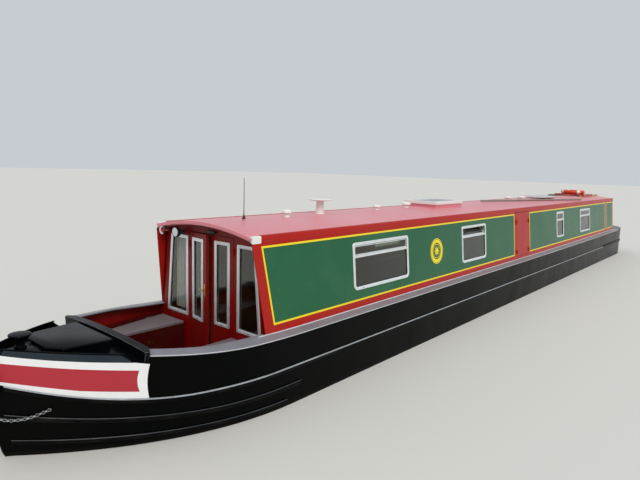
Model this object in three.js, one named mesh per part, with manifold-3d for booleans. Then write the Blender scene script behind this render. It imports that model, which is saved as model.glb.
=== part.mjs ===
// Steel narrowboat, 19.4 m long and 2.08 m wide, as an assembly of separate pieces.
// Millimetres, +X to the bow, +Y to port, +Z up. The underside of the flat base plate is Z = 0.
// Stations along the boat (x) are measured from the front bulkhead of the cabin, aft negative;
// the whole group is then shifted so that the middle of the boat's length is at X = 0.
// Heights named "above water" are turned to model heights by adding the draught.

import * as THREE from 'three';
import { mergeVertices } from 'three/addons/utils/BufferGeometryUtils.js';
import Module from 'manifold-3d';

const wasm = await Module();
wasm.setup();

// Driving dimensions
const DRAUGHT = 530;
const HALF_BEAM = 1040;
const HALF_BOTTOM = 1015;
const PLATE = 10;
const WALL = 50;
const GAP = 0.4;
const STEM_HALF = 16;
const STEM_HEAD_X = 2185;
const STERN_END_X = -16700;
const CABIN_AFT_X = -15000;
const STERN_SPLIT_X = -12900;
const BOW_SPLIT_X = -60;
const WELL_END_X = 1212;
const UXTER_Z = 490;
const WELL_FLOOR_Z = DRAUGHT + 70;
const CABIN_FLOOR_Z = 190;
const GUNWALE_WIDTH = 118;
const GUNWALE_DROP = 20;
const GUNWALE_PLATE = 12;
const CABIN_FOOT_HALF = 922;
const TUMBLEHOME = 0.0959;
const CABIN_FOOT_Z = DRAUGHT + 769;
const ROOF_EDGE_Z = DRAUGHT + 1752;
const ROOF_CROWN_Z = DRAUGHT + 1847;
const ROOF_THICK = 50;
const ROOF_FRONT_X = 120;
const OVERHANG_PLATE = 8;
const RAIL_TOP_Z = DRAUGHT + 1782;
const WINDOW_PROUD = 8;
const DOOR_THICK = 38;
const DOOR_GAP = 6;
const FENDER = { x: STEM_HEAD_X + 70, z: DRAUGHT + 640, radius: 118 };
const SHIFT_X = -(FENDER.x + FENDER.radius + STERN_END_X) / 2;

// Ends of cutting blocks: above everything in the hull, and outside its sides.
const TOP = 2000;
const CAVE = 1400;

const above = (z) => z + DRAUGHT;

// Small geometry helpers
const bare = (geometry) => {
  const g = geometry.index ? geometry.toNonIndexed() : geometry;
  g.deleteAttribute('normal');
  g.deleteAttribute('uv');
  return mergeVertices(g, 1e-3);
};

const solid = (geometry) => {
  const g = bare(geometry);
  return new wasm.Manifold(new wasm.Mesh({
    numProp: 3,
    vertProperties: new Float32Array(g.attributes.position.array),
    triVerts: new Uint32Array(g.index.array),
  }));
};

const geometryOf = (body) => {
  const mesh = body.getMesh();
  const g = new THREE.BufferGeometry();
  g.setAttribute('position', new THREE.BufferAttribute(new Float32Array(mesh.vertProperties), 3));
  g.setIndex(new THREE.BufferAttribute(new Uint32Array(mesh.triVerts), 1));
  return g;
};

const join = (...bodies) => bodies.reduce((a, b) => a.add(b));
const cut = (body, ...tools) => tools.reduce((a, b) => a.subtract(b), body);

const block = (x0, x1, y0, y1, z0, z1) => {
  const g = new THREE.BoxGeometry(x1 - x0, y1 - y0, z1 - z0);
  g.translate((x0 + x1) / 2, (y0 + y1) / 2, (z0 + z1) / 2);
  return solid(g);
};

// A flat outline [[a, b], ...] pushed out from lo to hi.
// plane 'xz' is pushed along Y, 'yz' along X, 'xy' along Z.
const prism = (outline, plane, lo, hi, holes = []) => {
  const shape = new THREE.Shape(outline.map(([a, b]) => new THREE.Vector2(a, b)));
  holes.forEach((hole) => {
    shape.holes.push(new THREE.Path(hole.map(([a, b]) => new THREE.Vector2(a, b))));
  });
  const g = new THREE.ExtrudeGeometry(shape, { depth: hi - lo, bevelEnabled: false });
  const basis = new THREE.Matrix4();
  if (plane === 'xz') basis.set(1, 0, 0, 0, 0, 0, -1, hi, 0, 1, 0, 0, 0, 0, 0, 1);
  if (plane === 'yz') basis.set(0, 0, 1, lo, 1, 0, 0, 0, 0, 1, 0, 0, 0, 0, 0, 1);
  if (plane === 'xy') basis.set(1, 0, 0, 0, 0, 1, 0, 0, 0, 0, 1, lo, 0, 0, 0, 1);
  g.applyMatrix4(basis);
  return solid(g);
};

// A rectangle with rounded corners, each radius given as [low, high] for bottom and top pairs.
const roundedRect = (a0, a1, b0, b1, low, high) => {
  const corner = (ca, cb, r, from) => {
    const steps = r > 1 ? 3 : 0;
    const points = [];
    for (let i = 0; i <= steps; i += 1) {
      const t = from + (Math.PI / 2) * (steps ? i / steps : 0.5);
      points.push([ca + r * Math.cos(t), cb + r * Math.sin(t)]);
    }
    return points;
  };
  return [
    ...corner(a1 - low, b0 + low, low, -Math.PI / 2),
    ...corner(a1 - high, b1 - high, high, 0),
    ...corner(a0 + high, b1 - high, high, Math.PI / 2),
    ...corner(a0 + low, b0 + low, low, Math.PI),
  ];
};

// A round bar or disc turned from a profile [[radius, height], ...], axis along +Z.
const turned = (profile, segments = 20) => solid(
  new THREE.LatheGeometry(profile.map(([r, h]) => new THREE.Vector2(r, h)), segments).rotateX(Math.PI / 2),
);

const rod = (from, to, radius, sides = 8) => {
  const a = new THREE.Vector3(...from);
  const b = new THREE.Vector3(...to);
  const g = new THREE.CylinderGeometry(radius, radius, a.distanceTo(b), sides);
  const turn = new THREE.Quaternion().setFromUnitVectors(
    new THREE.Vector3(0, 1, 0), b.clone().sub(a).normalize());
  g.applyQuaternion(turn);
  const mid = a.add(b).multiplyScalar(0.5);
  g.translate(mid.x, mid.y, mid.z);
  return solid(g);
};

// A pair of hinge knuckles on one axis: the leaf's above the frame's, each on an arm to its own piece.
const KNUCKLE = { radius: 9, length: 42, arm: 5, gap: 0.4 };
const AXIS_OUT = 12;
const hinge = (at, along, toLeaf, toFrame) => {
  const place = (distance, offset = [0, 0, 0]) => at.map((v, i) => v + along[i] * distance + offset[i]);
  const half = (from, to, reach) => join(
    rod(place(from), place(to), KNUCKLE.radius, 10),
    rod(place((from + to) / 2), place((from + to) / 2, reach), KNUCKLE.arm, 5));
  return {
    leaf: half(KNUCKLE.gap / 2, KNUCKLE.length, toLeaf),
    frame: half(-KNUCKLE.length, -KNUCKLE.gap / 2, toFrame),
  };
};
const hinged = (piece, side, hinges) => hinges.reduce((body, h) => body.add(h[side]), piece);

// A closed body through rings of equally many points, with flat convex ends.
const loft = (rings) => {
  const n = rings[0].length;
  const positions = rings.flat().flat();
  const index = [];
  for (let r = 0; r + 1 < rings.length; r += 1) {
    for (let i = 0; i < n; i += 1) {
      const a = r * n + i;
      const b = r * n + ((i + 1) % n);
      index.push(a, b, b + n, a, b + n, a + n);
    }
  }
  const last = (rings.length - 1) * n;
  for (let i = 0; i + 1 < n / 2; i += 1) {
    const j = n - 1 - i;
    index.push(i, j, i + 1, i + 1, j, j - 1);
    index.push(last + i, last + i + 1, last + j, last + i + 1, last + j - 1, last + j);
  }
  const g = new THREE.BufferGeometry();
  g.setAttribute('position', new THREE.Float32BufferAttribute(positions, 3));
  g.setIndex(index);
  const body = solid(g);
  if (body.volume() > 0) return body;
  g.setIndex(index.reverse());
  return solid(g);
};

// Hull form
// Sheer line: flat amidships, curving up to the bow, straight from there to the stem, a little up aft.
const SHEER = { start: -500, straight: 993, curve: 3.45e-5, slope: 0.103, aft: -7000, aftCurve: 6e-7 };
const sheerZ = (x) => {
  const bow = Math.max(0, Math.min(x, SHEER.straight) - SHEER.start);
  const fore = Math.max(0, x - SHEER.straight);
  const aft = Math.max(0, SHEER.aft - x);
  return CABIN_FOOT_Z + SHEER.curve * bow * bow + SHEER.slope * fore + SHEER.aftCurve * aft * aft;
};

// Waterlines of the bow: height, half-breadth amidships, where the curve starts, the stem, its fullness.
const LEVELS = [
  { z: PLATE, half: HALF_BOTTOM, start: -900, stem: 1700, power: 1.7 },
  { z: UXTER_Z, half: 1030, start: -400, stem: 2080, power: 2.17 },
  { z: 800, half: 1034, start: -200, stem: 2150, power: 2.12 },
  { z: 1100, half: 1037, start: 0, stem: 2180, power: 2.08 },
  { z: null, half: HALF_BEAM, start: 200, stem: STEM_HEAD_X, power: 2.05 },
];
const BOW_STEPS = [0, 0.12, 0.24, 0.36, 0.48, 0.6, 0.7, 0.8, 0.9, 1];
const STERN_STEPS = [0, 0.15, 0.3, 0.45, 0.6, 0.72, 0.82, 0.9, 0.96, 1];
const SWIM = { start: STERN_SPLIT_X - 200, end: -15750, power: 2.1, half: 24 };
const COUNTER = { start: -15250, end: STERN_END_X, power: 2.2, half: 96 };

const outlineAt = (level, aft, inset) => {
  const points = [];
  [...STERN_STEPS].reverse().forEach((t) => {
    const x = aft.start + (aft.end - aft.start) * t;
    const curve = aft === SWIM ? 1 - t ** aft.power : (1 - t ** aft.power) ** (1 / aft.power);
    points.push([x, Math.max(aft.half, level.half * curve)]);
  });
  BOW_STEPS.forEach((t) => {
    const x = level.start + (level.stem - level.start) * t;
    points.push([x, Math.max(STEM_HALF, level.half * (1 - t ** level.power))]);
  });
  return points.map(([x, y], i) => {
    const end = i === points.length - 1 ? inset * 1.6 : 0;
    return [x - end, Math.max(STEM_HALF / 2, y - inset)];
  });
};

const ringAt = (level, aft, inset, lower) => {
  const half = outlineAt(level, aft, inset);
  const z = (x) => (level.z === null ? sheerZ(x) - lower : level.z);
  const port = half.map(([x, y]) => [x, y, z(x)]);
  const starboard = half.map(([x, y]) => [x, -y, z(x)]).reverse();
  return [...port, ...starboard];
};

// Half-breadth of the hull's outer skin at a station and a height.
const breadthOn = (level, x) => {
  if (x <= level.start) return level.half;
  const t = Math.min(1, (x - level.start) / (level.stem - level.start));
  return Math.max(STEM_HALF, level.half * (1 - t ** level.power));
};
const counterFactor = (x) => {
  if (x >= COUNTER.start) return 1;
  const t = Math.min(1, (x - COUNTER.start) / (COUNTER.end - COUNTER.start));
  return (1 - t ** COUNTER.power) ** (1 / COUNTER.power);
};
const breadth = (x, z) => {
  const heights = LEVELS.map((level) => level.z ?? sheerZ(x));
  let i = 0;
  while (i < heights.length - 2 && z > heights[i + 1]) i += 1;
  const f = (z - heights[i]) / (heights[i + 1] - heights[i]);
  const low = breadthOn(LEVELS[i], x);
  const high = breadthOn(LEVELS[i + 1], x);
  return (low + (high - low) * f) * counterFactor(x);
};

const hullForm = (inset, lower) => join(
  loft([LEVELS[0], LEVELS[1]].map((level) => ringAt(level, SWIM, inset, lower))),
  loft(LEVELS.slice(1).map((level) => ringAt(level, COUNTER, inset, lower))),
);

// A strip along the hull: at each station four corners given by section(x) as [[y, z], ...].
const strip = (stations, section) => loft(
  stations.map((x) => section(x).map(([y, z]) => [x, y, z])),
);

const range = (from, to, count) => {
  const list = [];
  for (let i = 0; i <= count; i += 1) list.push(from + ((to - from) * i) / count);
  return list;
};

// Hull, with the cabin and the well open and the stern decked
const DECK_EDGE = GUNWALE_PLATE + GAP;
const outer = hullForm(0, DECK_EDGE);
const OPEN_TOP = -50;
const inner = hullForm(WALL, OPEN_TOP);
const hollow = join(
  inner.intersect(block(STERN_SPLIT_X - 5, BOW_SPLIT_X + 5, -CAVE, CAVE, PLATE - 5, TOP)),
  inner.intersect(block(BOW_SPLIT_X, WELL_END_X, -CAVE, CAVE, WELL_FLOOR_Z - 45, TOP)),
);
const UXTER_PLATE = 12;
const STERN_FLOOR_Z = PLATE + 40;
const sternCave = (z0) => block(CABIN_AFT_X + WALL, STERN_SPLIT_X + 5, -CAVE, CAVE, z0, TOP);
const sternHollow = join(
  loft([LEVELS[0], { ...LEVELS[1], z: UXTER_Z + 2 * UXTER_PLATE }]
    .map((level) => ringAt(level, SWIM, WALL, OPEN_TOP))).intersect(sternCave(STERN_FLOOR_Z)),
  inner.intersect(sternCave(UXTER_Z + UXTER_PLATE)));
const FORE_LOCKER = { x0: 1322, x1: 1860, z0: 780 };
const foreHollow = inner.intersect(
  block(FORE_LOCKER.x0, FORE_LOCKER.x1, -CAVE, CAVE, FORE_LOCKER.z0, TOP));
const hull = cut(outer, hollow, sternHollow, foreHollow);

const STRAKE_DEPTH = 22;
const strake = (side, s) => strip([...range(s.x0, 0, s.steps), ...range(160, s.x1, 12)], (x) => {
  const z1 = above(s.top + s.rise * Math.max(0, x - s.from) ** 2);
  const z0 = z1 - s.height;
  const skin = breadth(x, (z0 + z1) / 2);
  const y0 = side * (skin - 6);
  const y1 = side * (skin + STRAKE_DEPTH);
  return [[y0, z0], [y1, z0 + 8], [y1, z1 - 8], [y0, z1]];
});

// Rubbing strakes: ends, steps aft of the bulkhead, bar height, top above water, rise forward of a station.
const STRAKES = [
  { x0: STERN_SPLIT_X + 700, x1: 2110, steps: 12, height: 45, top: 424, rise: 1.19e-4, from: 750 },
  { x0: -400, x1: 2110, steps: 2, height: 45, top: 235, rise: 4.75e-5, from: 300 },
  { x0: -200, x1: 2070, steps: 1, height: 40, top: 85, rise: 1.7e-5, from: 0 },
];
const hullWithStrakes = [1, -1].reduce((body, side) => STRAKES.reduce(
  (b, s) => b.add(strake(side, s)), body), hull);

const slice = (body, x0, x1, y0 = -CAVE, y1 = CAVE) => body.intersect(block(x0, x1, y0, y1, -10, 2600));
const hullBow = slice(hullWithStrakes, BOW_SPLIT_X + GAP, 3000);
const hullPort = slice(hullWithStrakes, STERN_SPLIT_X + GAP, BOW_SPLIT_X, 0, CAVE);
const hullStarboard = slice(hullWithStrakes, STERN_SPLIT_X + GAP, BOW_SPLIT_X, -CAVE, 0);

// Counter band: a rubbing bar round the stern just under the deck
const counterBand = (z0, z1) => {
  const stations = range(-13400, COUNTER.end + 60, 14);
  const body = (side) => strip(stations, (x) => {
    const y = breadth(x, z0);
    return [[side * (y - 8), z0], [side * (y + STRAKE_DEPTH), z0 + 8],
      [side * (y + STRAKE_DEPTH), z1 - 8], [side * (y - 8), z1]];
  });
  return join(body(1), body(-1));
};
const SKEG = { x0: -16560, x1: -15500, half: 25, z0: 14, z1: 66 };
const STERN_TUBE = { z: 280, x0: -15860, x1: -15400, radius: 38 };
const PROP_X = -15960;
const RUDDER_X = -16420;
const sternBody = join(
  slice(hullWithStrakes, STERN_END_X - 10, STERN_SPLIT_X),
  counterBand(above(400), above(460)),
  block(SKEG.x0, SKEG.x1, -SKEG.half, SKEG.half, SKEG.z0, SKEG.z1),
  rod([STERN_TUBE.x0, 0, STERN_TUBE.z], [STERN_TUBE.x1, 0, STERN_TUBE.z], STERN_TUBE.radius, 12),
);
const SHAFT_RADIUS = 19;
const STOCK_RADIUS = 25;
const BEARING_GAP = 0.9;
const stockHole = rod([RUDDER_X, 0, SKEG.z0 + 20], [RUDDER_X, 0, 1500], STOCK_RADIUS + BEARING_GAP, 16);
const shaftHole = rod([STERN_TUBE.x0 - 10, 0, STERN_TUBE.z], [-15100, 0, STERN_TUBE.z],
  SHAFT_RADIUS + BEARING_GAP, 16);
const hullStern = cut(sternBody, stockHole, shaftHole);

// Base plate: the hull's bottom outline, a little proud of the chine
const plateOutline = () => {
  const half = outlineAt(LEVELS[0], SWIM, -18);
  return [...half, ...half.map(([x, y]) => [x, -y]).reverse()];
};
const basePlate = prism(plateOutline(), 'xy', 0, PLATE - GAP);

// Gunwales: flat under the cabin side, then falling outboard
const GUNWALE_EDGE = CABIN_FOOT_HALF - WALL - 8;
const gunwaleInner = (x) => {
  const past = Math.max(0, x + 40);
  return Math.min(GUNWALE_EDGE, breadth(x, sheerZ(x)) - GUNWALE_WIDTH - 0.02 * past);
};
const FOOT_X = [CABIN_AFT_X, -13000, -11000, -9000, -7000, -3000, -900, -500, 0];
const CABIN_GUNWALE_X = [COUNTER.start, ...FOOT_X];
const WELL_GUNWALE_X = [GAP, 200, 400, 600, 800, 1000, 1100, WELL_END_X];
const gunwale = (side, stations) => strip(stations, (x) => {
  const z = sheerZ(x);
  const y1 = breadth(x, z) + 6;
  const knee = y1 - GUNWALE_WIDTH + 4;
  const y0 = gunwaleInner(x);
  return [[side * y0, z], [side * knee, z], [side * y1, z - GUNWALE_DROP],
    [side * y1, z - GUNWALE_DROP - GUNWALE_PLATE], [side * knee, z - GUNWALE_PLATE],
    [side * y0, z - GUNWALE_PLATE]];
});
const gunwaleBed = (side) => strip([...CABIN_GUNWALE_X, ...WELL_GUNWALE_X], (x) => {
  const z = sheerZ(x);
  const y1 = breadth(x, z) + 60;
  const knee = breadth(x, z) + 10 - GUNWALE_WIDTH;
  const fall = GUNWALE_DROP * (y1 - knee) / (GUNWALE_WIDTH - 4);
  const low = GUNWALE_PLATE + 2 * GAP;
  return [[side * 400, z + 200], [side * y1, z + 200], [side * y1, z - fall - low],
    [side * knee, z - low], [side * 400, z - low]];
});
const beds = [gunwaleBed(1), gunwaleBed(-1)];

// Foredeck: sunk between low bulwarks, with a beam across its aft edge, the locker lid and the mooring stud
const COAMING = { x0: 1160, x1: 1240, web: 24, plate: 12, top: above(870), crown: 30, half: 830,
  foot: above(784), inner: 690, outer: 785 };
const DECK = { centre: 40, edge: 88 };
const BULWARK = { plate: 10, start: 1315, full: 1405 };
const deckStations = range(COAMING.x1 + GAP, STEM_HEAD_X - 40, 12);
const deckZ = (x) => sheerZ(x) - DECK.centre;
// The deck's plate between two levels measured from its top face.
const deckLayer = (top, low) => strip(deckStations, (x) => {
  const y = breadth(x, sheerZ(x)) + 6;
  const z = deckZ(x);
  const edge = sheerZ(x) - DECK.edge;
  return [[-y, edge + top], [0, z + top], [y, edge + top],
    [y, edge + low], [0, z + low], [-y, edge + low]];
});
const foredeckPlate = deckLayer(0, -GUNWALE_PLATE).intersect(hullForm(BULWARK.plate + GAP, DECK_EDGE));
// The lid's half outline: aft edge, the corner where it narrows, fore edge.
const LID = { x0: 1310, aft: 360, xMid: 1722, mid: 309, x1: 1810, fore: 177, skin: 12, rim: 18, rimWall: 12 };
const lidRing = (grow, z) => {
  const half = [[LID.x0 - grow, LID.aft + grow], [LID.xMid + grow / 2, LID.mid + grow],
    [LID.x1 + grow, LID.fore + grow]];
  return [...half, ...half.map(([x, y]) => [x, -y]).reverse()].map(([x, y]) => [x, y, z]);
};
const LID_RIM_Z = deckZ(LID.x1) + 9;
const hatchWell = loft([lidRing(-LID.rim - LID.rimWall, 1200), lidRing(-LID.rim - LID.rimWall, 1700)]);
const lidRim = loft([lidRing(-LID.rim, deckZ(LID.x0) - 60), lidRing(-LID.rim, LID_RIM_Z)]);
const foredeck = cut(join(foredeckPlate, lidRim), hatchWell);
const deckSkirt = strip([COAMING.x1, ...deckStations, STEM_HEAD_X + 60], (x) => {
  const edge = breadth(x, sheerZ(x)) + 6;
  const under = GUNWALE_PLATE + 2 * GAP;
  const z = deckZ(x) - under;
  const low = sheerZ(x) - DECK.edge - under;
  return [[-edge - 80, z + 300], [0, z + 320], [edge + 80, z + 300], [edge + 80, low], [edge, low], [0, z],
    [-edge, low], [-edge - 80, low]];
}).intersect(hullForm(BULWARK.plate, DECK_EDGE));
// The hull's upper edge forward of the well: at the deck, then rising to the bulwark's full height.
const lipZ = (x) => sheerZ(x) - (x < BULWARK.full ? DECK.edge : GUNWALE_DROP);
const overLip = prism([
  ...[COAMING.x1, BULWARK.start, BULWARK.full, STEM_HEAD_X + 60].map((x) => [x, lipZ(x)]),
  [STEM_HEAD_X + 60, TOP], [COAMING.x1, TOP]], 'xz', -CAVE, CAVE);

const LID_Z = LID_RIM_Z + DOOR_GAP;
const foredeckLid = cut(
  loft([lidRing(0, LID_Z - 8), lidRing(0, LID_Z + LID.skin - 6), lidRing(-8, LID_Z + LID.skin)]),
  loft([lidRing(-LID.skin, LID_Z - 40), lidRing(-LID.skin, LID_Z)]),
);
const LID_AXIS = { x: LID.x0 - 16, z: LID_Z - 18 };
const lidHinges = [-220, 220].map((y) => hinge([LID_AXIS.x, y, LID_AXIS.z], [0, 1, 0],
  [22, 0, 16], [40, 0, -14]));

// The beam's plan in front of the side decks' slanted ends.
const coamingPlan = (grow) => {
  const half = [[COAMING.x0 - grow, COAMING.inner + grow], [WELL_END_X + 2, COAMING.outer + grow],
    [WELL_END_X + 4, CAVE], [COAMING.x1, CAVE]];
  return prism([...half, ...half.map(([x, y]) => [x, -y]).reverse()], 'xy', CABIN_FOOT_Z - 40, TOP);
};
const coamingArch = (y) => COAMING.top + COAMING.crown * (1 - (y / COAMING.half) ** 2);
const coamingBar = (x0, low) => loft(range(-COAMING.half, COAMING.half, 10).map((y) => {
  const z = coamingArch(y);
  return [[x0, low(z)], [COAMING.x1, low(z)], [COAMING.x1, z], [x0, z]].map(([x, h]) => [x, y, h]);
}));
const topOutline = (() => {
  const half = outlineAt(LEVELS[LEVELS.length - 1], COUNTER, 0);
  return [...half, ...half.map(([x, y]) => [x, -y]).reverse()];
})();
const coaming = join(
  coamingBar(COAMING.x0, (z) => z - COAMING.plate).intersect(coamingPlan(0)),
  coamingBar(COAMING.x1 - COAMING.web, () => COAMING.foot),
).intersect(join(outer, prism(topOutline, 'xy', COAMING.top - 25, TOP)));
const coamingSeat = block(WELL_END_X - 1, COAMING.x1 + GAP, -CAVE, CAVE, COAMING.foot - GAP, TOP);

const STUD_X = 1938;
const STUD_HEIGHT = 122;
const bowStud = cut(
  turned([[0, -20], [48, -20], [48, 16], [33, 22], [31, 100], [85, 103], [90, 110], [86, STUD_HEIGHT],
    [0, STUD_HEIGHT]], 16)
    .translate([STUD_X, 0, deckZ(STUD_X)]),
  deckLayer(GAP, -60));

const bowFender = cut(
  turned([[0, -170], [60, -168], [105, -120], [FENDER.radius, -40], [FENDER.radius, 60], [100, 130],
    [60, 165], [0, 170]], 16)
    .translate([FENDER.x, 0, FENDER.z]),
  hullForm(-GAP, DECK_EDGE));

// Well deck: floor, two bench lockers and their lids
const within = hullForm(WALL + GAP, OPEN_TOP);
const wellFloor = within.intersect(
  block(BOW_SPLIT_X + 1, WELL_END_X - 10, -CAVE, CAVE, WELL_FLOOR_Z - 44, WELL_FLOOR_Z - 4));
const BENCH = { x0: 30, x1: 1080, inner: 432, top: above(644), wall: 22, lid: 24, ledge: 26, lidAft: 34 };
const sideBlock = (side, x0, x1, inside, z0, z1) => block(
  x0, x1, side > 0 ? inside : -CAVE, side > 0 ? CAVE : -inside, z0, z1);
const BENCH_GAP = 30;
const shrunk = hullForm(WALL + BENCH_GAP, OPEN_TOP);
// The lids turn on straight lines; a fixed ledge fills the curved strip between each line and the hull.
const LID_LINE = { x0: BENCH.x0 - 12, y0: 865, x1: BENCH.x1 + 12, y1: 650 };
const lidRun = Math.hypot(LID_LINE.x1 - LID_LINE.x0, LID_LINE.y1 - LID_LINE.y0);
const lidDirection = (side) => [
  (LID_LINE.x1 - LID_LINE.x0) / lidRun, side * (LID_LINE.y1 - LID_LINE.y0) / lidRun, 0];
const lidLineY = (x) => LID_LINE.y0
  + (LID_LINE.y1 - LID_LINE.y0) * (x - LID_LINE.x0) / (LID_LINE.x1 - LID_LINE.x0);
const benchHinges = (side) => [0.2, 0.8].map((f) => {
  const [dx, dy] = lidDirection(side);
  const out = [-dy * side, dx * side];
  const x = LID_LINE.x0 + (LID_LINE.x1 - LID_LINE.x0) * f;
  return hinge([x + out[0] * AXIS_OUT, side * lidLineY(x) + out[1] * AXIS_OUT, BENCH.top - 6],
    [dx, dy, 0], [-out[0] * 26, -out[1] * 26, -6], [out[0] * 26, out[1] * 26, -6]);
});
const bench = (side) => {
  const form = shrunk.intersect(sideBlock(side, BENCH.x0, BENCH.x1, BENCH.inner, WELL_FLOOR_Z - 4 + GAP,
    BENCH.top - BENCH.lid - GAP));
  const deep = hullForm(WALL + BENCH_GAP + BENCH.wall, OPEN_TOP).intersect(sideBlock(
    side, BENCH.x0 + BENCH.wall, BENCH.x1 - BENCH.wall, BENCH.inner + BENCH.wall,
    WELL_FLOOR_Z + BENCH.wall, TOP));
  const ledge = shrunk.intersect(prism([
    [BENCH.x0, lidLineY(BENCH.x0) + BENCH.ledge], [BENCH.x1, lidLineY(BENCH.x1) + BENCH.ledge],
    [BENCH.x1, CAVE], [BENCH.x0, CAVE]].map(([x, y]) => [x, side * y]), 'xy',
  BENCH.top - BENCH.lid - 8, BENCH.top));
  return hinged(join(cut(form, deep), ledge), 'frame', benchHinges(side));
};
const benchLid = (side) => {
  const outline = [[BENCH.lidAft, BENCH.inner - 2], [LID_LINE.x1, BENCH.inner - 2],
    [LID_LINE.x1, LID_LINE.y1], [BENCH.lidAft, lidLineY(BENCH.lidAft)]].map(([x, y]) => [x, side * y]);
  return hinged(prism(side > 0 ? outline : outline.reverse(), 'xy', BENCH.top - BENCH.lid, BENCH.top),
    'leaf', benchHinges(side));
};

// Cabin sides
// Windows of one side: name, aft station, fore station, sill and head above water.
const WINDOWS = [
  { name: '1', aft: -2750, fore: -1480, sill: 990, head: 1572 },
  { name: '2', aft: -5350, fore: -4410, sill: 980, head: 1580 },
  { name: '3', aft: -9890, fore: -9350, sill: 1000, head: 1597 },
  { name: '4', aft: -12280, fore: -11310, sill: 980, head: 1580 },
];
const SIDE_HATCH = { aft: -7490, fore: -6820, sill: 830, head: 1700 };
const CORNER_LOW = 70;
const CORNER_HIGH = 40;
const FLANGE = 22;

// The cabin side leans inboard: every point is moved in by the tumblehome for its height.
const leaned = (body, side) => {
  const g = geometryOf(body);
  const p = g.attributes.position;
  for (let i = 0; i < p.count; i += 1) {
    const y = CABIN_FOOT_HALF - TUMBLEHOME * (p.getZ(i) - CABIN_FOOT_Z) + p.getY(i);
    p.setY(i, side * y);
  }
  if (side < 0) g.setIndex(Array.from(g.index.array).reverse());
  return solid(g);
};
const windowOutline = (w, shrink) => roundedRect(
  w.aft + shrink, w.fore - shrink, above(w.sill) + shrink, above(w.head) - shrink,
  CORNER_LOW - shrink, CORNER_HIGH - shrink * 0.8);
const SIDE_TOP_Z = ROOF_EDGE_Z - ROOF_THICK - GAP;
const sideOutline = [
  [CABIN_AFT_X, SIDE_TOP_Z],
  [ROOF_FRONT_X, SIDE_TOP_Z],
  ...[...FOOT_X].reverse().map((x) => [x, sheerZ(x) + GAP]),
].reverse();
const hatchOutline = [
  [SIDE_HATCH.aft, above(SIDE_HATCH.sill)], [SIDE_HATCH.fore, above(SIDE_HATCH.sill)],
  [SIDE_HATCH.fore, above(SIDE_HATCH.head)], [SIDE_HATCH.aft, above(SIDE_HATCH.head)]];
// Forward of the bulkhead the sides and the roof run on as single plate.
const cabinSide = (side) => {
  const holes = WINDOWS.map((w) => windowOutline(w, FLANGE));
  if (side > 0) holes.push(hatchOutline);
  const wall = prism(sideOutline, 'xz', -WALL, 0, holes);
  const inside = block(0, ROOF_FRONT_X + 10, -WALL - 5, -OVERHANG_PLATE, 0, ROOF_CROWN_Z);
  const plain = leaned(cut(wall, inside), side);
  return side > 0 ? [SIDE_HATCH.fore, SIDE_HATCH.aft]
    .reduce((body, x) => hinged(body, 'frame', hatchHinges(x)), plain) : plain;
};

// A window: a flange on the outside face, a pane inside it, the opening light's bar across.
const BAR_Z = 1400;
const windowUnit = (w, side) => {
  const sight = windowOutline(w, FLANGE + 14);
  const flange = prism(windowOutline(w, 0), 'xz', GAP, WINDOW_PROUD, [sight]);
  const sleeve = prism(windowOutline(w, FLANGE + 1), 'xz', -34, WINDOW_PROUD, [sight]);
  const pane = prism(windowOutline(w, FLANGE + 6), 'xz', -14, -8);
  const bar = block(w.aft + FLANGE + 8, w.fore - FLANGE - 8, -18, WINDOW_PROUD,
    above(BAR_Z) - 12, above(BAR_Z) + 12);
  return leaned(join(flange, sleeve, pane, bar), side);
};

// Side hatch doors, hinged on axes that lean with the cabin side
const LEAN = Math.hypot(1, TUMBLEHOME);
const HATCH_HINGE_Z = [above(920), above(1510)];
function hatchHinges(x) {
  const inward = x === SIDE_HATCH.fore ? -1 : 1;
  const y = (z) => CABIN_FOOT_HALF - TUMBLEHOME * (z - CABIN_FOOT_Z);
  return HATCH_HINGE_Z.map((z) => hinge([x, y(z) + AXIS_OUT, z], [0, -TUMBLEHOME / LEAN, 1 / LEAN],
    [inward * ARM_REACH, ARM_DEPTH, 0], [-inward * ARM_REACH, ARM_DEPTH, 0]));
}
const hatchMiddle = (SIDE_HATCH.aft + SIDE_HATCH.fore) / 2;
const hatchDoor = (fore) => {
  const x0 = fore ? hatchMiddle + DOOR_GAP / 2 : SIDE_HATCH.aft + DOOR_GAP;
  const x1 = fore ? SIDE_HATCH.fore - DOOR_GAP : hatchMiddle - DOOR_GAP / 2;
  return hinged(leaned(block(x0, x1, -DOOR_THICK, 0,
    above(SIDE_HATCH.sill) + DOOR_GAP, above(SIDE_HATCH.head) - DOOR_GAP), 1),
  'leaf', hatchHinges(fore ? SIDE_HATCH.fore : SIDE_HATCH.aft));
};

// Roof: cambered, with a raised handrail along each edge
const ROOF_HALF = CABIN_FOOT_HALF - TUMBLEHOME * (ROOF_EDGE_Z - CABIN_FOOT_Z);
const camber = (y) => ROOF_CROWN_Z - (ROOF_CROWN_Z - ROOF_EDGE_Z) * (y / ROOF_HALF) ** 2;
const arcY = range(-ROOF_HALF, ROOF_HALF, 16);
const SOFFIT_Y = range(ROOF_HALF - 110, -ROOF_HALF + 110, 10);
const roofSection = [
  ...arcY.map((y) => [y, camber(y)]),
  [ROOF_HALF + 4, ROOF_EDGE_Z - ROOF_THICK],
  [ROOF_HALF - WALL - 6, ROOF_EDGE_Z - ROOF_THICK],
  ...SOFFIT_Y.map((y) => [y, camber(y) - ROOF_THICK]),
  [-ROOF_HALF + WALL + 6, ROOF_EDGE_Z - ROOF_THICK],
  [-ROOF_HALF - 4, ROOF_EDGE_Z - ROOF_THICK],
];
const RAIL_WIDTH = 38;
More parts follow.
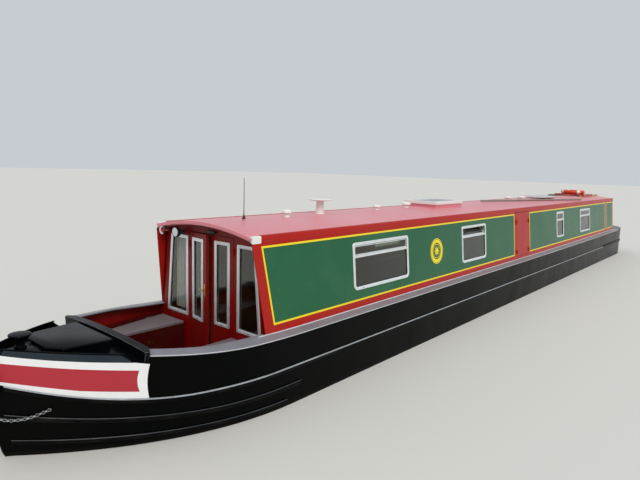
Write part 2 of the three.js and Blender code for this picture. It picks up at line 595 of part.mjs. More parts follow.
const railSection = (side) => [
  [side * (ROOF_HALF + 8), ROOF_EDGE_Z - 40], [side * (ROOF_HALF + 8), RAIL_TOP_Z - 10],
  [side * (ROOF_HALF), RAIL_TOP_Z], [side * (ROOF_HALF - RAIL_WIDTH + 8), RAIL_TOP_Z],
  [side * (ROOF_HALF - RAIL_WIDTH), RAIL_TOP_Z - 8], [side * (ROOF_HALF - RAIL_WIDTH), ROOF_EDGE_Z - 40]];
const rail = (side) => {
  const outline = side > 0 ? railSection(side).reverse() : railSection(side);
  return prism(outline, 'yz', CABIN_AFT_X, ROOF_FRONT_X);
};
const SKYLIGHT = { aft: -5500, fore: -4520, half: 300, curb: 62, wall: 30 };
const skylightCurb = block(SKYLIGHT.aft, SKYLIGHT.fore, -SKYLIGHT.half, SKYLIGHT.half,
  ROOF_CROWN_Z - 60, ROOF_CROWN_Z + SKYLIGHT.curb);
const skylightHole = block(SKYLIGHT.aft + SKYLIGHT.wall, SKYLIGHT.fore - SKYLIGHT.wall,
  -SKYLIGHT.half + SKYLIGHT.wall, SKYLIGHT.half - SKYLIGHT.wall, ROOF_CROWN_Z - 200, ROOF_CROWN_Z + 200);
const HATCH = { aft: -14990, fore: -14250, half: 340, length: 1000, cover: 395, skin: 20 };
const roofHole = block(HATCH.aft - 40, HATCH.fore, -HATCH.half, HATCH.half,
  ROOF_CROWN_Z - 300, ROOF_CROWN_Z + 200);
const RUNNER = { half: 360, width: 24, rise: 30 };
const runner = (side) => block(HATCH.aft, HATCH.aft + 2 * HATCH.length,
  Math.min(side * RUNNER.half, side * (RUNNER.half + RUNNER.width)),
  Math.max(side * RUNNER.half, side * (RUNNER.half + RUNNER.width)),
  ROOF_CROWN_Z - 60, ROOF_CROWN_Z + RUNNER.rise);

const lidZ = ROOF_CROWN_Z + SKYLIGHT.curb + DOOR_GAP;
const SKYLIGHT_AXIS = { y: -SKYLIGHT.half - 30, z: lidZ - 12 };
const skylightHinges = [SKYLIGHT.aft + 200, SKYLIGHT.fore - 200].map((x) => hinge(
  [x, SKYLIGHT_AXIS.y, SKYLIGHT_AXIS.z], [1, 0, 0], [0, 20, 4], [0, 34, -68]));

// Mushroom vents on the roof: station, offset to port, cap radius, height.
const VENTS = [
  { x: -1120, y: 90, r: 62, h: 95 },
  { x: -3150, y: 30, r: 62, h: 80 },
  { x: -4020, y: 20, r: 80, h: 95 },
  { x: -8500, y: 0, r: 80, h: 90 },
  { x: -9250, y: 40, r: 100, h: 80 },
  { x: -11650, y: 0, r: 105, h: 75 },
];
const vent = (v) => turned([[0, -20], [v.r * 0.62, -20], [v.r * 0.62, v.h * 0.45], [v.r, v.h * 0.5],
  [v.r, v.h * 0.62], [v.r * 0.7, v.h * 0.9], [0, v.h]], 12)
  .translate([v.x, v.y, camber(v.y)]);
const HOLLOW_HALF = ROOF_HALF - OVERHANG_PLATE;
const overhangHollow = prism([
  ...range(-HOLLOW_HALF, HOLLOW_HALF, 14).map((y) => [y, camber(y) - OVERHANG_PLATE]),
  [HOLLOW_HALF, ROOF_EDGE_Z - ROOF_THICK - 5],
  [-HOLLOW_HALF, ROOF_EDGE_Z - ROOF_THICK - 5]].reverse(), 'yz', 0, ROOF_FRONT_X + 10);
const cabinRoof = cut(
  VENTS.reduce((body, v) => body.add(vent(v)), join(
    prism([...roofSection].reverse(), 'yz', CABIN_AFT_X, ROOF_FRONT_X),
    rail(1), rail(-1), skylightCurb, runner(1), runner(-1))),
  skylightHole, roofHole, overhangHollow);

// Skylight lid: a shallow tray turned over, on the curb
const skylightBlock = (grow, z0, z1) => block(SKYLIGHT.aft - grow, SKYLIGHT.fore + grow,
  -SKYLIGHT.half - grow, SKYLIGHT.half + grow, z0, z1);
const skylightLid = cut(
  skylightBlock(14, lidZ - 24, lidZ + 22), skylightBlock(7, lidZ - 30, lidZ));
const skylightLeaf = hinged(skylightLid, 'leaf', skylightHinges);

// Sliding hatch, stored open, and the ring buoy that lies on it
const hatchCover = (() => {
  const x0 = HATCH.fore - 10;
  const x1 = x0 + HATCH.length;
  const ceiling = ROOF_CROWN_Z + RUNNER.rise + GAP;
  return cut(block(x0, x1, -HATCH.cover - 14, HATCH.cover + 14, ROOF_CROWN_Z - 4, ceiling + HATCH.skin),
    block(x0 - 5, x1 + 5, -HATCH.cover + 2, HATCH.cover - 2, ROOF_CROWN_Z - 20, ceiling));
})();
const RING = { x: -13760, y: -30, radius: 275, tube: 55 };
const ringProfile = range(0, 2 * Math.PI, 8).slice(0, 8)
  .map((t) => [RING.radius + RING.tube * Math.cos(t), RING.tube * Math.sin(t)]);
const lifeRing = turned([...ringProfile, ringProfile[0]], 24)
  .translate([RING.x, RING.y, ROOF_CROWN_Z + RUNNER.rise + HATCH.skin + RING.tube + 2 * GAP]);

// Bulkheads: the inside of the cabin's section, cut for doors and windows
const insideY = (z) => CABIN_FOOT_HALF - WALL - GAP * 2 - TUMBLEHOME * Math.max(0, z - CABIN_FOOT_Z);
const bulkheadOutline = (floor) => {
  const soffit = SOFFIT_Y.map((y) => [y, camber(y) - ROOF_THICK - GAP]);
  const edgeZ = ROOF_EDGE_Z - ROOF_THICK - GAP;
  const ledge = ROOF_HALF - WALL - 6;
  return [[insideY(floor), floor], [insideY(edgeZ), edgeZ], [ledge, edgeZ], ...soffit,
    [-ledge, edgeZ], [-insideY(edgeZ), edgeZ], [-insideY(floor), floor]];
};
const rectangle = (y0, y1, z0, z1) => [[y0, z0], [y1, z0], [y1, z1], [y0, z1]];
const FRONT_DOORWAY = { y0: -345, y1: 420, z0: above(160), z1: above(1710) };
const FRONT_WINDOWS = [
  { name: 'starboard', side: -1, inner: 376, outer: 792, z0: above(715), z1: above(1655) },
  { name: 'port', side: 1, inner: 475, outer: 852, z0: above(713), z1: above(1650) },
];
// The outer edge leans with the cabin side.
const frontWindowOutline = (w, s) => {
  const edge = (z) => w.outer - s - TUMBLEHOME * (z - w.z0);
  const outline = [[w.inner + s, w.z0 + s], [edge(w.z0 + s), w.z0 + s], [edge(w.z1 - s), w.z1 - s],
    [w.inner + s, w.z1 - s]].map(([y, z]) => [w.side * y, z]);
  return w.side > 0 ? outline : outline.reverse();
};
const FRONT_FOOT_Z = sheerZ(0) - GUNWALE_DROP - GUNWALE_PLATE - GAP;
const frontBulkhead = cut(join(
  prism(bulkheadOutline(sheerZ(0) + GAP), 'yz', -WALL, 0),
  block(-WALL, 0, -GUNWALE_EDGE + GAP, GUNWALE_EDGE - GAP, FRONT_FOOT_Z - 5, sheerZ(0) + 5),
  within.intersect(block(-WALL, 0, -CAVE, CAVE, WELL_FLOOR_Z - 3, FRONT_FOOT_Z)),
), ...[
  rectangle(FRONT_DOORWAY.y0, FRONT_DOORWAY.y1, FRONT_DOORWAY.z0, FRONT_DOORWAY.z1),
  ...FRONT_WINDOWS.map((w) => frontWindowOutline(w, FLANGE)),
].map((outline) => prism(outline, 'yz', -WALL - 5, 5)));
const flatWindow = (outline, x0) => join(
  prism(outline(0), 'yz', x0 + GAP, x0 + WINDOW_PROUD, [outline(FLANGE + 12)]),
  prism(outline(FLANGE + 1), 'yz', x0 - 30, x0 + WINDOW_PROUD, [outline(FLANGE + 12)]),
  prism(outline(FLANGE + 6), 'yz', x0 - 14, x0 - 8),
);

// Front doors, built closed about their hinge: leaf from the hinge side, window in its upper part.
const leafWidth = (FRONT_DOORWAY.y1 - FRONT_DOORWAY.y0) / 2;
// Front leaves: name, side of the hinge, hinge position, window as distances from the hinge, degrees ajar.
const FRONT_LEAVES = [
  { name: 'port', side: 1, hinge: FRONT_DOORWAY.y1, near: 63, far: 320, ajar: 0 },
  { name: 'starboard', side: -1, hinge: FRONT_DOORWAY.y0, near: 66, far: 316, ajar: 9.5 },
];
const leafWindow = (leaf, s) => {
  const a = -leaf.side * (leaf.near + s);
  const b = -leaf.side * (leaf.far - s);
  return rectangle(Math.min(a, b), Math.max(a, b), above(715) + s, above(1650) - s);
};
// Arms reach sideways into the leaf and into the frame.
const ARM_REACH = 30;
const ARM_DEPTH = -AXIS_OUT - 8;
const FRONT_HINGE_Z = [above(330), above(1560)];
const frontHinges = (leaf) => FRONT_HINGE_Z.map((z) => hinge([0, 0, z], [0, 0, 1],
  [ARM_DEPTH, -leaf.side * ARM_REACH, 0], [ARM_DEPTH, leaf.side * ARM_REACH, 0]));
const frontLeaf = (leaf) => {
  const a = -leaf.side * DOOR_GAP;
  const b = -leaf.side * (leafWidth - DOOR_GAP / 2);
  return hinged(prism(
    rectangle(Math.min(a, b), Math.max(a, b), FRONT_DOORWAY.z0 + DOOR_GAP, FRONT_DOORWAY.z1 - DOOR_GAP),
    'yz', -DOOR_THICK - AXIS_OUT, -AXIS_OUT, [leafWindow(leaf, FLANGE)]), 'leaf', frontHinges(leaf));
};
const frontFrame = FRONT_LEAVES.reduce((body, leaf) => frontHinges(leaf)
  .reduce((b, h) => b.add(h.frame.translate([AXIS_OUT, leaf.hinge, 0])), body), frontBulkhead);

// Rear bulkhead and its doors
const STERN_DECK_Z = sheerZ(CABIN_AFT_X);
const REAR_DOORWAY = { half: 330, z0: STERN_DECK_Z + 90, z1: ROOF_CROWN_Z - ROOF_THICK - 30 };
const REAR_HINGE_Z = [STERN_DECK_Z + 230, ROOF_CROWN_Z - 230];
const rearHinges = (side) => REAR_HINGE_Z.map((z) => hinge(
  [CABIN_AFT_X - AXIS_OUT, side * REAR_DOORWAY.half, z], [0, 0, 1],
  [-ARM_DEPTH, -side * ARM_REACH, 0], [-ARM_DEPTH, side * ARM_REACH, 0]));
const rearWall = prism(bulkheadOutline(STERN_DECK_Z + GAP), 'yz',
  CABIN_AFT_X, CABIN_AFT_X + WALL,
  [rectangle(-REAR_DOORWAY.half, REAR_DOORWAY.half, REAR_DOORWAY.z0, REAR_DOORWAY.z1)]);
const rearBulkhead = hinged(hinged(rearWall, 'frame', rearHinges(1)), 'frame', rearHinges(-1));
const rearLeaf = (side) => hinged(block(CABIN_AFT_X, CABIN_AFT_X + DOOR_THICK,
  side > 0 ? DOOR_GAP / 2 : -REAR_DOORWAY.half + DOOR_GAP,
  side > 0 ? REAR_DOORWAY.half - DOOR_GAP : -DOOR_GAP / 2,
  REAR_DOORWAY.z0 + DOOR_GAP, REAR_DOORWAY.z1 - DOOR_GAP), 'leaf', rearHinges(side));

// Stern deck with its mooring studs
const DOLLY_X = -15600;
const dolly = (side) => turned(
  [[0, -4], [34, -4], [30, 8], [24, 14], [24, 104], [38, 112], [38, 122], [34, 126], [0, 126]], 12)
  .translate([DOLLY_X, side * 700, STERN_DECK_Z]);
const sternDeck = (() => {
  const plate = strip(range(COUNTER.end + 10, COUNTER.start - GAP, 12), (x) => {
    const y = Math.max(60, breadth(x, sheerZ(x)) + 6);
    const z = STERN_DECK_Z;
    return [[-y, z - GUNWALE_PLATE], [-y, z], [y, z], [y, z - GUNWALE_PLATE]];
  });
  const middle = block(COUNTER.start - 2, CABIN_AFT_X + WALL, -840, 840,
    STERN_DECK_Z - GUNWALE_PLATE, STERN_DECK_Z);
  return cut(join(plate, middle, dolly(1), dolly(-1)), stockHole);
})();

// Cabin floor, engine, propeller and rudder
const cabinFloor = within.intersect(
  block(STERN_SPLIT_X + 200, BOW_SPLIT_X - 40, -CAVE, CAVE, PLATE, CABIN_FLOOR_Z));
const engine = join(
  block(-14650, -13800, -230, 230, 140, 640),
  block(-14650, -14500, -120, 120, 200, 420),
  block(-14500, -13900, -300, 300, STERN_FLOOR_Z + GAP, 240),
);
const BLADES = 3;
const BLADE_REACH = 200;
const propeller = (() => {
  const hub = rod([PROP_X - 60, 0, STERN_TUBE.z], [PROP_X + 60, 0, STERN_TUBE.z], 42, 16);
  const shaft = rod([PROP_X, 0, STERN_TUBE.z], [-15250, 0, STERN_TUBE.z], SHAFT_RADIUS, 12);
  const blade = (turn) => {
    const g = new THREE.SphereGeometry(1, 10, 6);
    g.scale(16, 86, BLADE_REACH / 2);
    g.translate(0, 0, BLADE_REACH / 2);
    g.rotateZ(0.7);
    g.rotateX(turn);
    g.translate(PROP_X, 0, STERN_TUBE.z);
    return solid(g);
  };
  return range(0, 2 * Math.PI, BLADES).slice(0, BLADES).reduce((b, t) => b.add(blade(t)), hub.add(shaft));
})();

const STOCK_TOP = 60;
const rudder = join(
  block(RUDDER_X - 190, RUDDER_X + 150, -8, 8, 96, UXTER_Z - 30),
  rod([RUDDER_X, 0, SKEG.z0 + 20 + GAP], [RUDDER_X, 0, STERN_DECK_Z + STOCK_TOP], STOCK_RADIUS, 16),
);
// The swan neck's centre line: distance forward of the stock, height above the stern deck.
const SWAN_NECK = [
  [0, STOCK_TOP + 2 * GAP], [0, 130], [-2, 220], [-20, 420], [30, 600], [170, 640], [700, 690]];
const swanPath = new THREE.CatmullRomCurve3(
  SWAN_NECK.map(([x, z]) => new THREE.Vector3(RUDDER_X + x, 0, STERN_DECK_Z + z)));
const circle = (r, n) => new THREE.Shape(range(0, 2 * Math.PI, n).slice(0, n)
  .map((t) => new THREE.Vector2(r * Math.cos(t), r * Math.sin(t))));
const TILLER_RADIUS = 19;
const tiller = solid(new THREE.ExtrudeGeometry(
  circle(TILLER_RADIUS, 8), { steps: 16, extrudePath: swanPath, bevelEnabled: false }));

// Roof fittings
const TV = { x: -1850, y: 0, post: 150, radius: 165, thick: 52 };
const tvAerial = turned([[0, 0], [40, 0], [40, 6], [16, 10], [16, TV.post],
  [TV.radius * 0.6, TV.post + 4], [TV.radius, TV.post + TV.thick * 0.45],
  [TV.radius * 0.86, TV.post + TV.thick * 0.8], [0, TV.post + TV.thick]], 16)
  .translate([TV.x, TV.y, camber(TV.y) + GAP]);
const WHIP = { x: -500, y: 0, height: 470 };
const whipAerial = turned(
  [[0, 0], [22, 0], [20, 12], [8, 40], [5, 60], [3, WHIP.height], [0, WHIP.height]], 10)
  .translate([WHIP.x, WHIP.y, camber(WHIP.y) + GAP]);
const PANEL = { aft: -11150, fore: -10050, half: 270, thick: 30, feet: 26 };
const panelZ = ROOF_CROWN_Z + PANEL.feet;
const solarPanel = join(
  block(PANEL.aft, PANEL.fore, -PANEL.half, PANEL.half, panelZ, panelZ + PANEL.thick),
  ...[PANEL.aft + 120, PANEL.fore - 160]
    .map((x) => block(x, x + 40, -60, 60, ROOF_CROWN_Z + GAP, panelZ + 5)),
);
const POLE = { from: [-6900, 60], to: [-11950, 690], radius: 19 };
const boatPole = (() => {
  const bulge = (ROOF_CROWN_Z - ROOF_EDGE_Z) * ((POLE.to[1] - POLE.from[1]) / (2 * ROOF_HALF)) ** 2;
  const lift = POLE.radius + bulge;
  const end = (at) => [...at, camber(at[1]) + lift];
  return rod(end(POLE.from), end(POLE.to), POLE.radius, 10);
})();

// Lamp and horn under the roof's overhang
const LAMP = { x: 80, y: -480, z: above(1688), radius: 60, depth: 60 };
const headlamp = join(
  rod([LAMP.x - LAMP.depth / 2, LAMP.y, LAMP.z], [LAMP.x + LAMP.depth / 2, LAMP.y, LAMP.z], LAMP.radius, 24),
  block(GAP, LAMP.x, LAMP.y - 12, LAMP.y + 12, LAMP.z - 12, LAMP.z + 12),
);
const HORN = { x: 112, y: -740, z: above(1688) };
const horn = join(
  rod([HORN.x - 90, HORN.y, HORN.z], [HORN.x - 10, HORN.y, HORN.z], 22, 12),
  rod([HORN.x - 20, HORN.y, HORN.z], [HORN.x, HORN.y, HORN.z], 50, 20),
  block(GAP, HORN.x - 60, HORN.y - 10, HORN.y + 10, HORN.z - 10, HORN.z + 10),
);

// Finishes: name, colour, roughness, metalness
const FINISH = {
  hullBlack: [0x14161a, 0.35, 0.0],
  deckGrey: [0x9a9aa0, 0.6, 0.0],
  cabinRed: [0xa3170f, 0.4, 0.0],
  cabinGreen: [0x2c6148, 0.35, 0.0],
  darkRed: [0x6a0a06, 0.5, 0.0],
  bottom: [0x1c1b1a, 0.8, 0.0],
  aluminium: [0xc9ccd0, 0.35, 0.9],
  brass: [0xc0973f, 0.3, 1.0],
  iron: [0x3f4a50, 0.7, 0.3],
  bronze: [0xa07a3c, 0.4, 0.9],
  white: [0xe8e8e4, 0.4, 0.0],
  black: [0x101012, 0.5, 0.0],
  panel: [0x23303c, 0.3, 0.2],
  orange: [0xd8451c, 0.6, 0.0],
  rope: [0x24211e, 0.95, 0.0],
  boards: [0x8a7358, 0.7, 0.0],
  chrome: [0xd8dade, 0.15, 1.0],
  pole: [0x9c9a92, 0.6, 0.0],
};
const material = (name) => {
  const [color, roughness, metalness] = FINISH[name];
  return new THREE.MeshStandardMaterial({ color, roughness, metalness });
};

const boat = new THREE.Group();
boat.position.x = SHIFT_X;
const add = (name, body, finish, place = [0, 0, 0], turnZ = 0) => {
  const mesh = new THREE.Mesh(geometryOf(body), material(finish));
  mesh.name = name;
  mesh.position.set(...place);
  mesh.rotation.z = THREE.MathUtils.degToRad(turnZ);
  boat.add(mesh);
};

add('base_plate', basePlate, 'bottom');
add('hull_bow', cut(hullBow, ...beds, coamingSeat, deckSkirt, overLip), 'hullBlack');
add('hull_side_port', cut(hullPort, ...beds), 'hullBlack');
add('hull_side_starboard', cut(hullStarboard, ...beds), 'hullBlack');
add('hull_stern', cut(hullStern, ...beds, block(STERN_END_X - 50, CABIN_AFT_X + WALL + GAP, -CAVE, CAVE,
  STERN_DECK_Z - GUNWALE_PLATE - GAP, TOP)), 'hullBlack');
add('foredeck', hinged(foredeck, 'frame', lidHinges), 'hullBlack');
add('coaming', coaming, 'black');
add('foredeck_lid', hinged(foredeckLid, 'leaf', lidHinges), 'hullBlack');
add('bow_stud', bowStud, 'black');
add('bow_fender', bowFender, 'rope');
add('well_floor', wellFloor, 'boards');
[['port', 1], ['starboard', -1]].forEach(([name, side]) => {
  add(`gunwale_${name}`, gunwale(side, CABIN_GUNWALE_X), 'deckGrey');
  add(`well_gunwale_${name}`, cut(gunwale(side, WELL_GUNWALE_X), coamingPlan(3)), 'deckGrey');
  add(`bench_${name}`, bench(side), 'darkRed');
  add(`bench_lid_${name}`, benchLid(side), 'boards');
  add(`cabin_side_${name}`, cabinSide(side), 'cabinGreen');
  WINDOWS.forEach((w) => add(`window_${name}_${w.name}`, windowUnit(w, side), 'aluminium'));
});
add('side_hatch_fore', hatchDoor(true), 'cabinRed');
add('side_hatch_aft', hatchDoor(false), 'cabinRed');
add('cabin_roof', hinged(cabinRoof, 'frame', skylightHinges), 'cabinRed');
add('cabin_floor', cabinFloor, 'boards');
add('skylight_lid', skylightLeaf, 'white');
add('slide_hatch', hatchCover, 'darkRed');
add('life_ring', lifeRing, 'orange');
add('front_bulkhead', frontFrame, 'darkRed');
FRONT_WINDOWS.forEach((w) => add(`front_window_${w.name}`,
  flatWindow((s) => frontWindowOutline(w, s), 0), 'aluminium'));
FRONT_LEAVES.forEach((leaf) => {
  const at = [AXIS_OUT, leaf.hinge, 0];
  const turn = leaf.side * leaf.ajar;
  add(`front_door_${leaf.name}`, frontLeaf(leaf), 'darkRed', at, turn);
  add(`front_door_glass_${leaf.name}`,
    flatWindow((s) => leafWindow(leaf, s), -AXIS_OUT), 'aluminium', at, turn);
});
add('rear_bulkhead', rearBulkhead, 'cabinRed');
add('rear_door_port', rearLeaf(1), 'cabinRed');
add('rear_door_starboard', rearLeaf(-1), 'cabinRed');
add('stern_deck', sternDeck, 'deckGrey');
add('engine', engine, 'iron');
add('propeller', propeller, 'bronze');
add('rudder', rudder, 'bottom');
add('tiller', tiller, 'brass');
add('tv_aerial', tvAerial, 'white');
add('whip_aerial', whipAerial, 'black');
add('solar_panel', solarPanel, 'panel');
add('boat_pole', boatPole, 'pole');
add('headlamp', headlamp, 'chrome');
add('horn', horn, 'chrome');

export default boat;
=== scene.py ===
import math

import bmesh
import bpy
import numpy as np
from mathutils import Matrix, Vector
from mathutils.geometry import tessellate_polygon


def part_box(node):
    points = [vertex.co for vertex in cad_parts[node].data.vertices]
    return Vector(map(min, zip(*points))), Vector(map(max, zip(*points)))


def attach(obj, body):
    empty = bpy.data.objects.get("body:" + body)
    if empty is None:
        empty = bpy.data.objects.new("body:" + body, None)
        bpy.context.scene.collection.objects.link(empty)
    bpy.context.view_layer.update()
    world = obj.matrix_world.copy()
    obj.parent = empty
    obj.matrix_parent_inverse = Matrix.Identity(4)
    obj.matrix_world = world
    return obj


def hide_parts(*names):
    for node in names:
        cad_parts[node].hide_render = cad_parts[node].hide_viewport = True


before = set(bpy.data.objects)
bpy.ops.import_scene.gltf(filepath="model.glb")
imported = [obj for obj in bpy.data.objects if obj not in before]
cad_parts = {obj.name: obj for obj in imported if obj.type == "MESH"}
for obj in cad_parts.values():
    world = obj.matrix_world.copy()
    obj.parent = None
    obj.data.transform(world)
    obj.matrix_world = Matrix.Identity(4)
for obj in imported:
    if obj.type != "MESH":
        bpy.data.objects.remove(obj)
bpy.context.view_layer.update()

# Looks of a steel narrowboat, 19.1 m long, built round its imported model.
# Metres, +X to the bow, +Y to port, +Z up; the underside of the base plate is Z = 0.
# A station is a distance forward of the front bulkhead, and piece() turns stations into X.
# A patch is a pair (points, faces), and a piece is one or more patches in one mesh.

# Driving dimensions, as the model's source names them. The roof hangs over the bulkhead by OVERHANG.
WATERLINE = 0.53
OVERHANG = 0.12
BULKHEAD_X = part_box("cabin_side_port")[1].x - OVERHANG
# The stem bar's half thickness and its head
STEM_HALF, STEM_HEAD = 0.016, 2.185
# The counter's flat underside, the counter's and the cabin's aft ends
UXTER_Z = 0.49
STERN_END = -16.7
CABIN_AFT = -15.0
# The cabin side's foot and how far it leans in for its height
FOOT_HALF, FOOT_Z, TUMBLEHOME = 0.922, 1.299, 0.0959
ROOF_EDGE_Z, ROOF_CROWN_Z = 2.282, 2.377
ROOF_HALF = FOOT_HALF - TUMBLEHOME * (ROOF_EDGE_Z - FOOT_Z)
ROOF_THICK, OVERHANG_THICK = 0.05, 0.008
RAIL_TOP_Z = 2.312
# Side deck, stern deck, the well's fore beam and the foredeck between the bulwarks
GUNWALE_WIDTH, GUNWALE_DROP, GUNWALE_PLATE = 0.118, 0.02, 0.012
STERN_DECK_HALF = 0.8405
COAMING_FORE = 1.24
DECK_SUNK, DECK_FALL = 0.04, 0.048
# The counter's plan and how many rows of plating go round half of it
COUNTER_START, COUNTER_POWER, COUNTER_ROWS = -15.25, 2.2, 24
# Distance that keeps two faces from lying in one plane
HAIR = 0.0004

# Waterlines of the hull: height, half-breadth, where the bow's curve starts, the stem, its fullness.
# The last one lies at the sheer.
LEVELS = np.array([
    (0.01, 1.015, -0.9, 1.7, 1.7),
    (0.49, 1.03, -0.4, 2.08, 2.17),
    (0.8, 1.034, -0.2, 2.15, 2.12),
    (1.1, 1.037, 0.0, 2.18, 2.08),
    (1.3, 1.04, 0.2, STEM_HEAD, 2.05),
])

# Windows of a side: name, aft station, fore station, sill and head over the water.
WINDOWS = [
    ("1", -2.75, -1.48, 0.99, 1.572),
    ("2", -5.35, -4.41, 0.98, 1.58),
    ("3", -9.89, -9.35, 1.0, 1.597),
    ("4", -12.28, -11.31, 0.98, 1.58),
]
HOPPER_Z = 1.4
OPEN_LIGHT = ("port", "2")


def above(z):
    """Model height of a height over the water."""
    return z + WATERLINE


def sheer(x):
    """Height of the side deck's knee: flat amidships, 0.0345 * (x + 0.5)^2 up to 0.993, straight on to the
    stem at a slope of 0.103, and 0.0006 * (x + 7)^2 up to the stern."""
    curve = np.maximum(0, np.minimum(x, 0.993) + 0.5)
    return (FOOT_Z + 0.0345 * curve**2 + 0.103 * np.maximum(0, x - 0.993)
            + 0.0006 * np.maximum(0, -7 - x) ** 2)


def level_values(x, z):
    """Half-breadth, bow start, stem and fullness at a height: one smooth cubic (Hermite) through LEVELS
    over the height, with slopes from the neighbours on both sides; the top level follows the sheer."""
    x, z = np.broadcast_arrays(np.asarray(x, float), np.asarray(z, float))
    heights = np.stack([np.full(x.shape, h) for h in LEVELS[:4, 0]] + [sheer(x)], -1)
    values = np.broadcast_to(LEVELS[:, 1:], (*x.shape, 5, 4))
    rise = np.diff(heights, axis=-1)[..., None]
    steps = np.diff(values, axis=-2) / rise
    middle = (values[..., 2:, :] - values[..., :-2, :]) / (rise[..., 1:, :] + rise[..., :-1, :])
    slopes = np.concatenate([steps[..., :1, :], middle, steps[..., -1:, :]], -2)
    k = np.clip((z[..., None] >= heights[..., 1:]).sum(-1), 0, 3)

    def pick(a, i):
        return np.take_along_axis(a, i[..., None, None], -2)[..., 0, :]

    h = pick(rise, k)
    f = ((z - np.take_along_axis(heights, k[..., None], -1)[..., 0])[..., None]) / h
    return ((2 * f**3 - 3 * f**2 + 1) * pick(values, k) + (f**3 - 2 * f**2 + f) * h * pick(slopes, k)
            + (3 * f**2 - 2 * f**3) * pick(values, k + 1) + (f**3 - f**2) * h * pick(slopes, k + 1))


def counter_round(x):
    """How much the counter narrows the hull: (1 - t^p)^(1/p), t from 0 at its start to 1 at its end."""
    t = np.clip((x - COUNTER_START) / (STERN_END - COUNTER_START), 0, 1)
    return (1 - t**COUNTER_POWER) ** (1 / COUNTER_POWER)


def breadth(x, z):
    """Half-breadth of the hull: half * (1 - t^power), t from 0 at the curve's start to 1 at the stem."""
    half, start, stem, power = np.moveaxis(level_values(x, z), -1, 0)
    t = np.clip((x - start) / (stem - start), 0, 1)
    return np.maximum(STEM_HALF, half * (1 - t**power)) * counter_round(np.asarray(x, float))


def camber(y):
    """Height of the roof's top at an offset from the middle: a parabola from crown to edge."""
    return ROOF_CROWN_Z - (ROOF_CROWN_Z - ROOF_EDGE_Z) * (np.asarray(y, float) / ROOF_HALF) ** 2


def spots(x, y, z):
    """Points from coordinates, arrays or numbers, spread to one shape."""
    return np.stack(np.broadcast_arrays(x, y, z), -1)


# Patches

def surface(grid, wrap_u=False, wrap_v=False, skip=None):
    """Quads between a grid of points; wrap_u and wrap_v join its last row or column to the first,
    and skip leaves the marked quads out."""
    rows, cols = grid.shape[:2]
    index = np.arange(rows * cols).reshape(rows, cols)
    if wrap_u:
        index = np.vstack([index, index[:1]])
    if wrap_v:
        index = np.hstack([index, index[:, :1]])
    quads = np.stack([index[:-1, :-1], index[1:, :-1], index[1:, 1:], index[:-1, 1:]], -1)
    quads = quads.reshape(-1, 4) if skip is None else quads[~skip]
    return grid.reshape(-1, 3), [quads]


def walled(points, faces, other):
    """A closed body: faces on points, the same faces turned over on other, and a wall on every free edge."""
    n = len(points)
    edges = np.concatenate([f[:, [i, (i + 1) % f.shape[1]]] for f in faces for i in range(f.shape[1])])
    free = edges[~np.isin(edges[:, 0] * n + edges[:, 1], edges[:, 1] * n + edges[:, 0])]
    walls = np.stack([free[:, 0], free[:, 0] + n, free[:, 1] + n, free[:, 1]], -1)
    return np.vstack([points, other]), [*faces, *[f[:, ::-1] + n for f in faces], walls]


def slab(top, bottom, skip=None):
    """A closed plate between two grids of the same shape."""
    points, faces = surface(top, skip=skip)
    return walled(points, faces, bottom.reshape(-1, 3))


def plate(outlines, place, low, high):
    """A plate whose flat outline and holes are filled with triangles at two heights over a surface.
    place(a, b, h) gives the points; the first outline is the outer one."""
    flat = np.vstack(outlines)
    loops = [[Vector((a, b, 0)) for a, b in outline] for outline in outlines]
    triangles = np.array(tessellate_polygon(loops))
    return walled(place(*flat.T, high), [triangles], place(*flat.T, low))


def ring(outline, section, place):
    """A closed frame: outline(s) is the outline drawn in by s, section a closed list of (s, height)."""
    return surface(np.stack([place(*outline(s).T, h) for s, h in section]), True, True)


def capped(grid):
    """A closed bar from sections along a line: its skin, and a flat face at each end."""
    n = grid.shape[1]
    points, faces = surface(grid, wrap_v=True)
    return points, faces + [np.arange(n)[None, ::-1], np.arange(len(points) - n, len(points))[None]]


def bar(section, place):
    """A closed bar whose section's corners (out, up) each run along the line that place(out, up) gives."""
    return capped(np.stack([place(out, up) for out, up in section], 1))


def tube(path, section, up=(0, 0, 1), closed=False):
    """A section [(side, up)] carried along a path: side = up x tangent, and the section's second
    axis = tangent x side. Open tubes get flat ends."""
    path = np.asarray(path, float)
    tangent = np.roll(path, -1, 0) - np.roll(path, 1, 0) if closed else np.gradient(path, axis=0)
    tangent /= np.linalg.norm(tangent, axis=1)[:, None]
    side = np.cross(up, tangent)
    side /= np.linalg.norm(side, axis=1)[:, None]
    normal = np.cross(tangent, side)
    section = np.asarray(section, float)
    grid = path[:, None] + side[:, None] * section[:, 0, None] + normal[:, None] * section[:, 1, None]
    return surface(grid, True, True) if closed else capped(grid)


def disc(radius, sides=12):
    """A round section of so many sides."""
    t = np.arange(sides) * 2 * math.pi / sides
    return np.stack([radius * np.cos(t), radius * np.sin(t)], -1)


def bar_section(width, height, ease):
    """A rectangle centred on its path with corners rounded by quarter circles of radius ease."""
    return rounded(-width / 2, width / 2, -height / 2, height / 2, ease, ease, 3)


def lathe(profile, at, turns=32, axis="z"):
    """A profile [(radius, height)] turned about an axis through a point; closed where the radius is 0."""
    r, h = np.asarray(profile, float).T
    t = np.arange(turns) * 2 * math.pi / turns
    grid = spots(np.outer(np.cos(t), r), np.outer(np.sin(t), r), h)
    if axis == "x":
        grid = grid[..., [2, 0, 1]]
    return surface(grid + np.asarray(at, float), wrap_u=True)


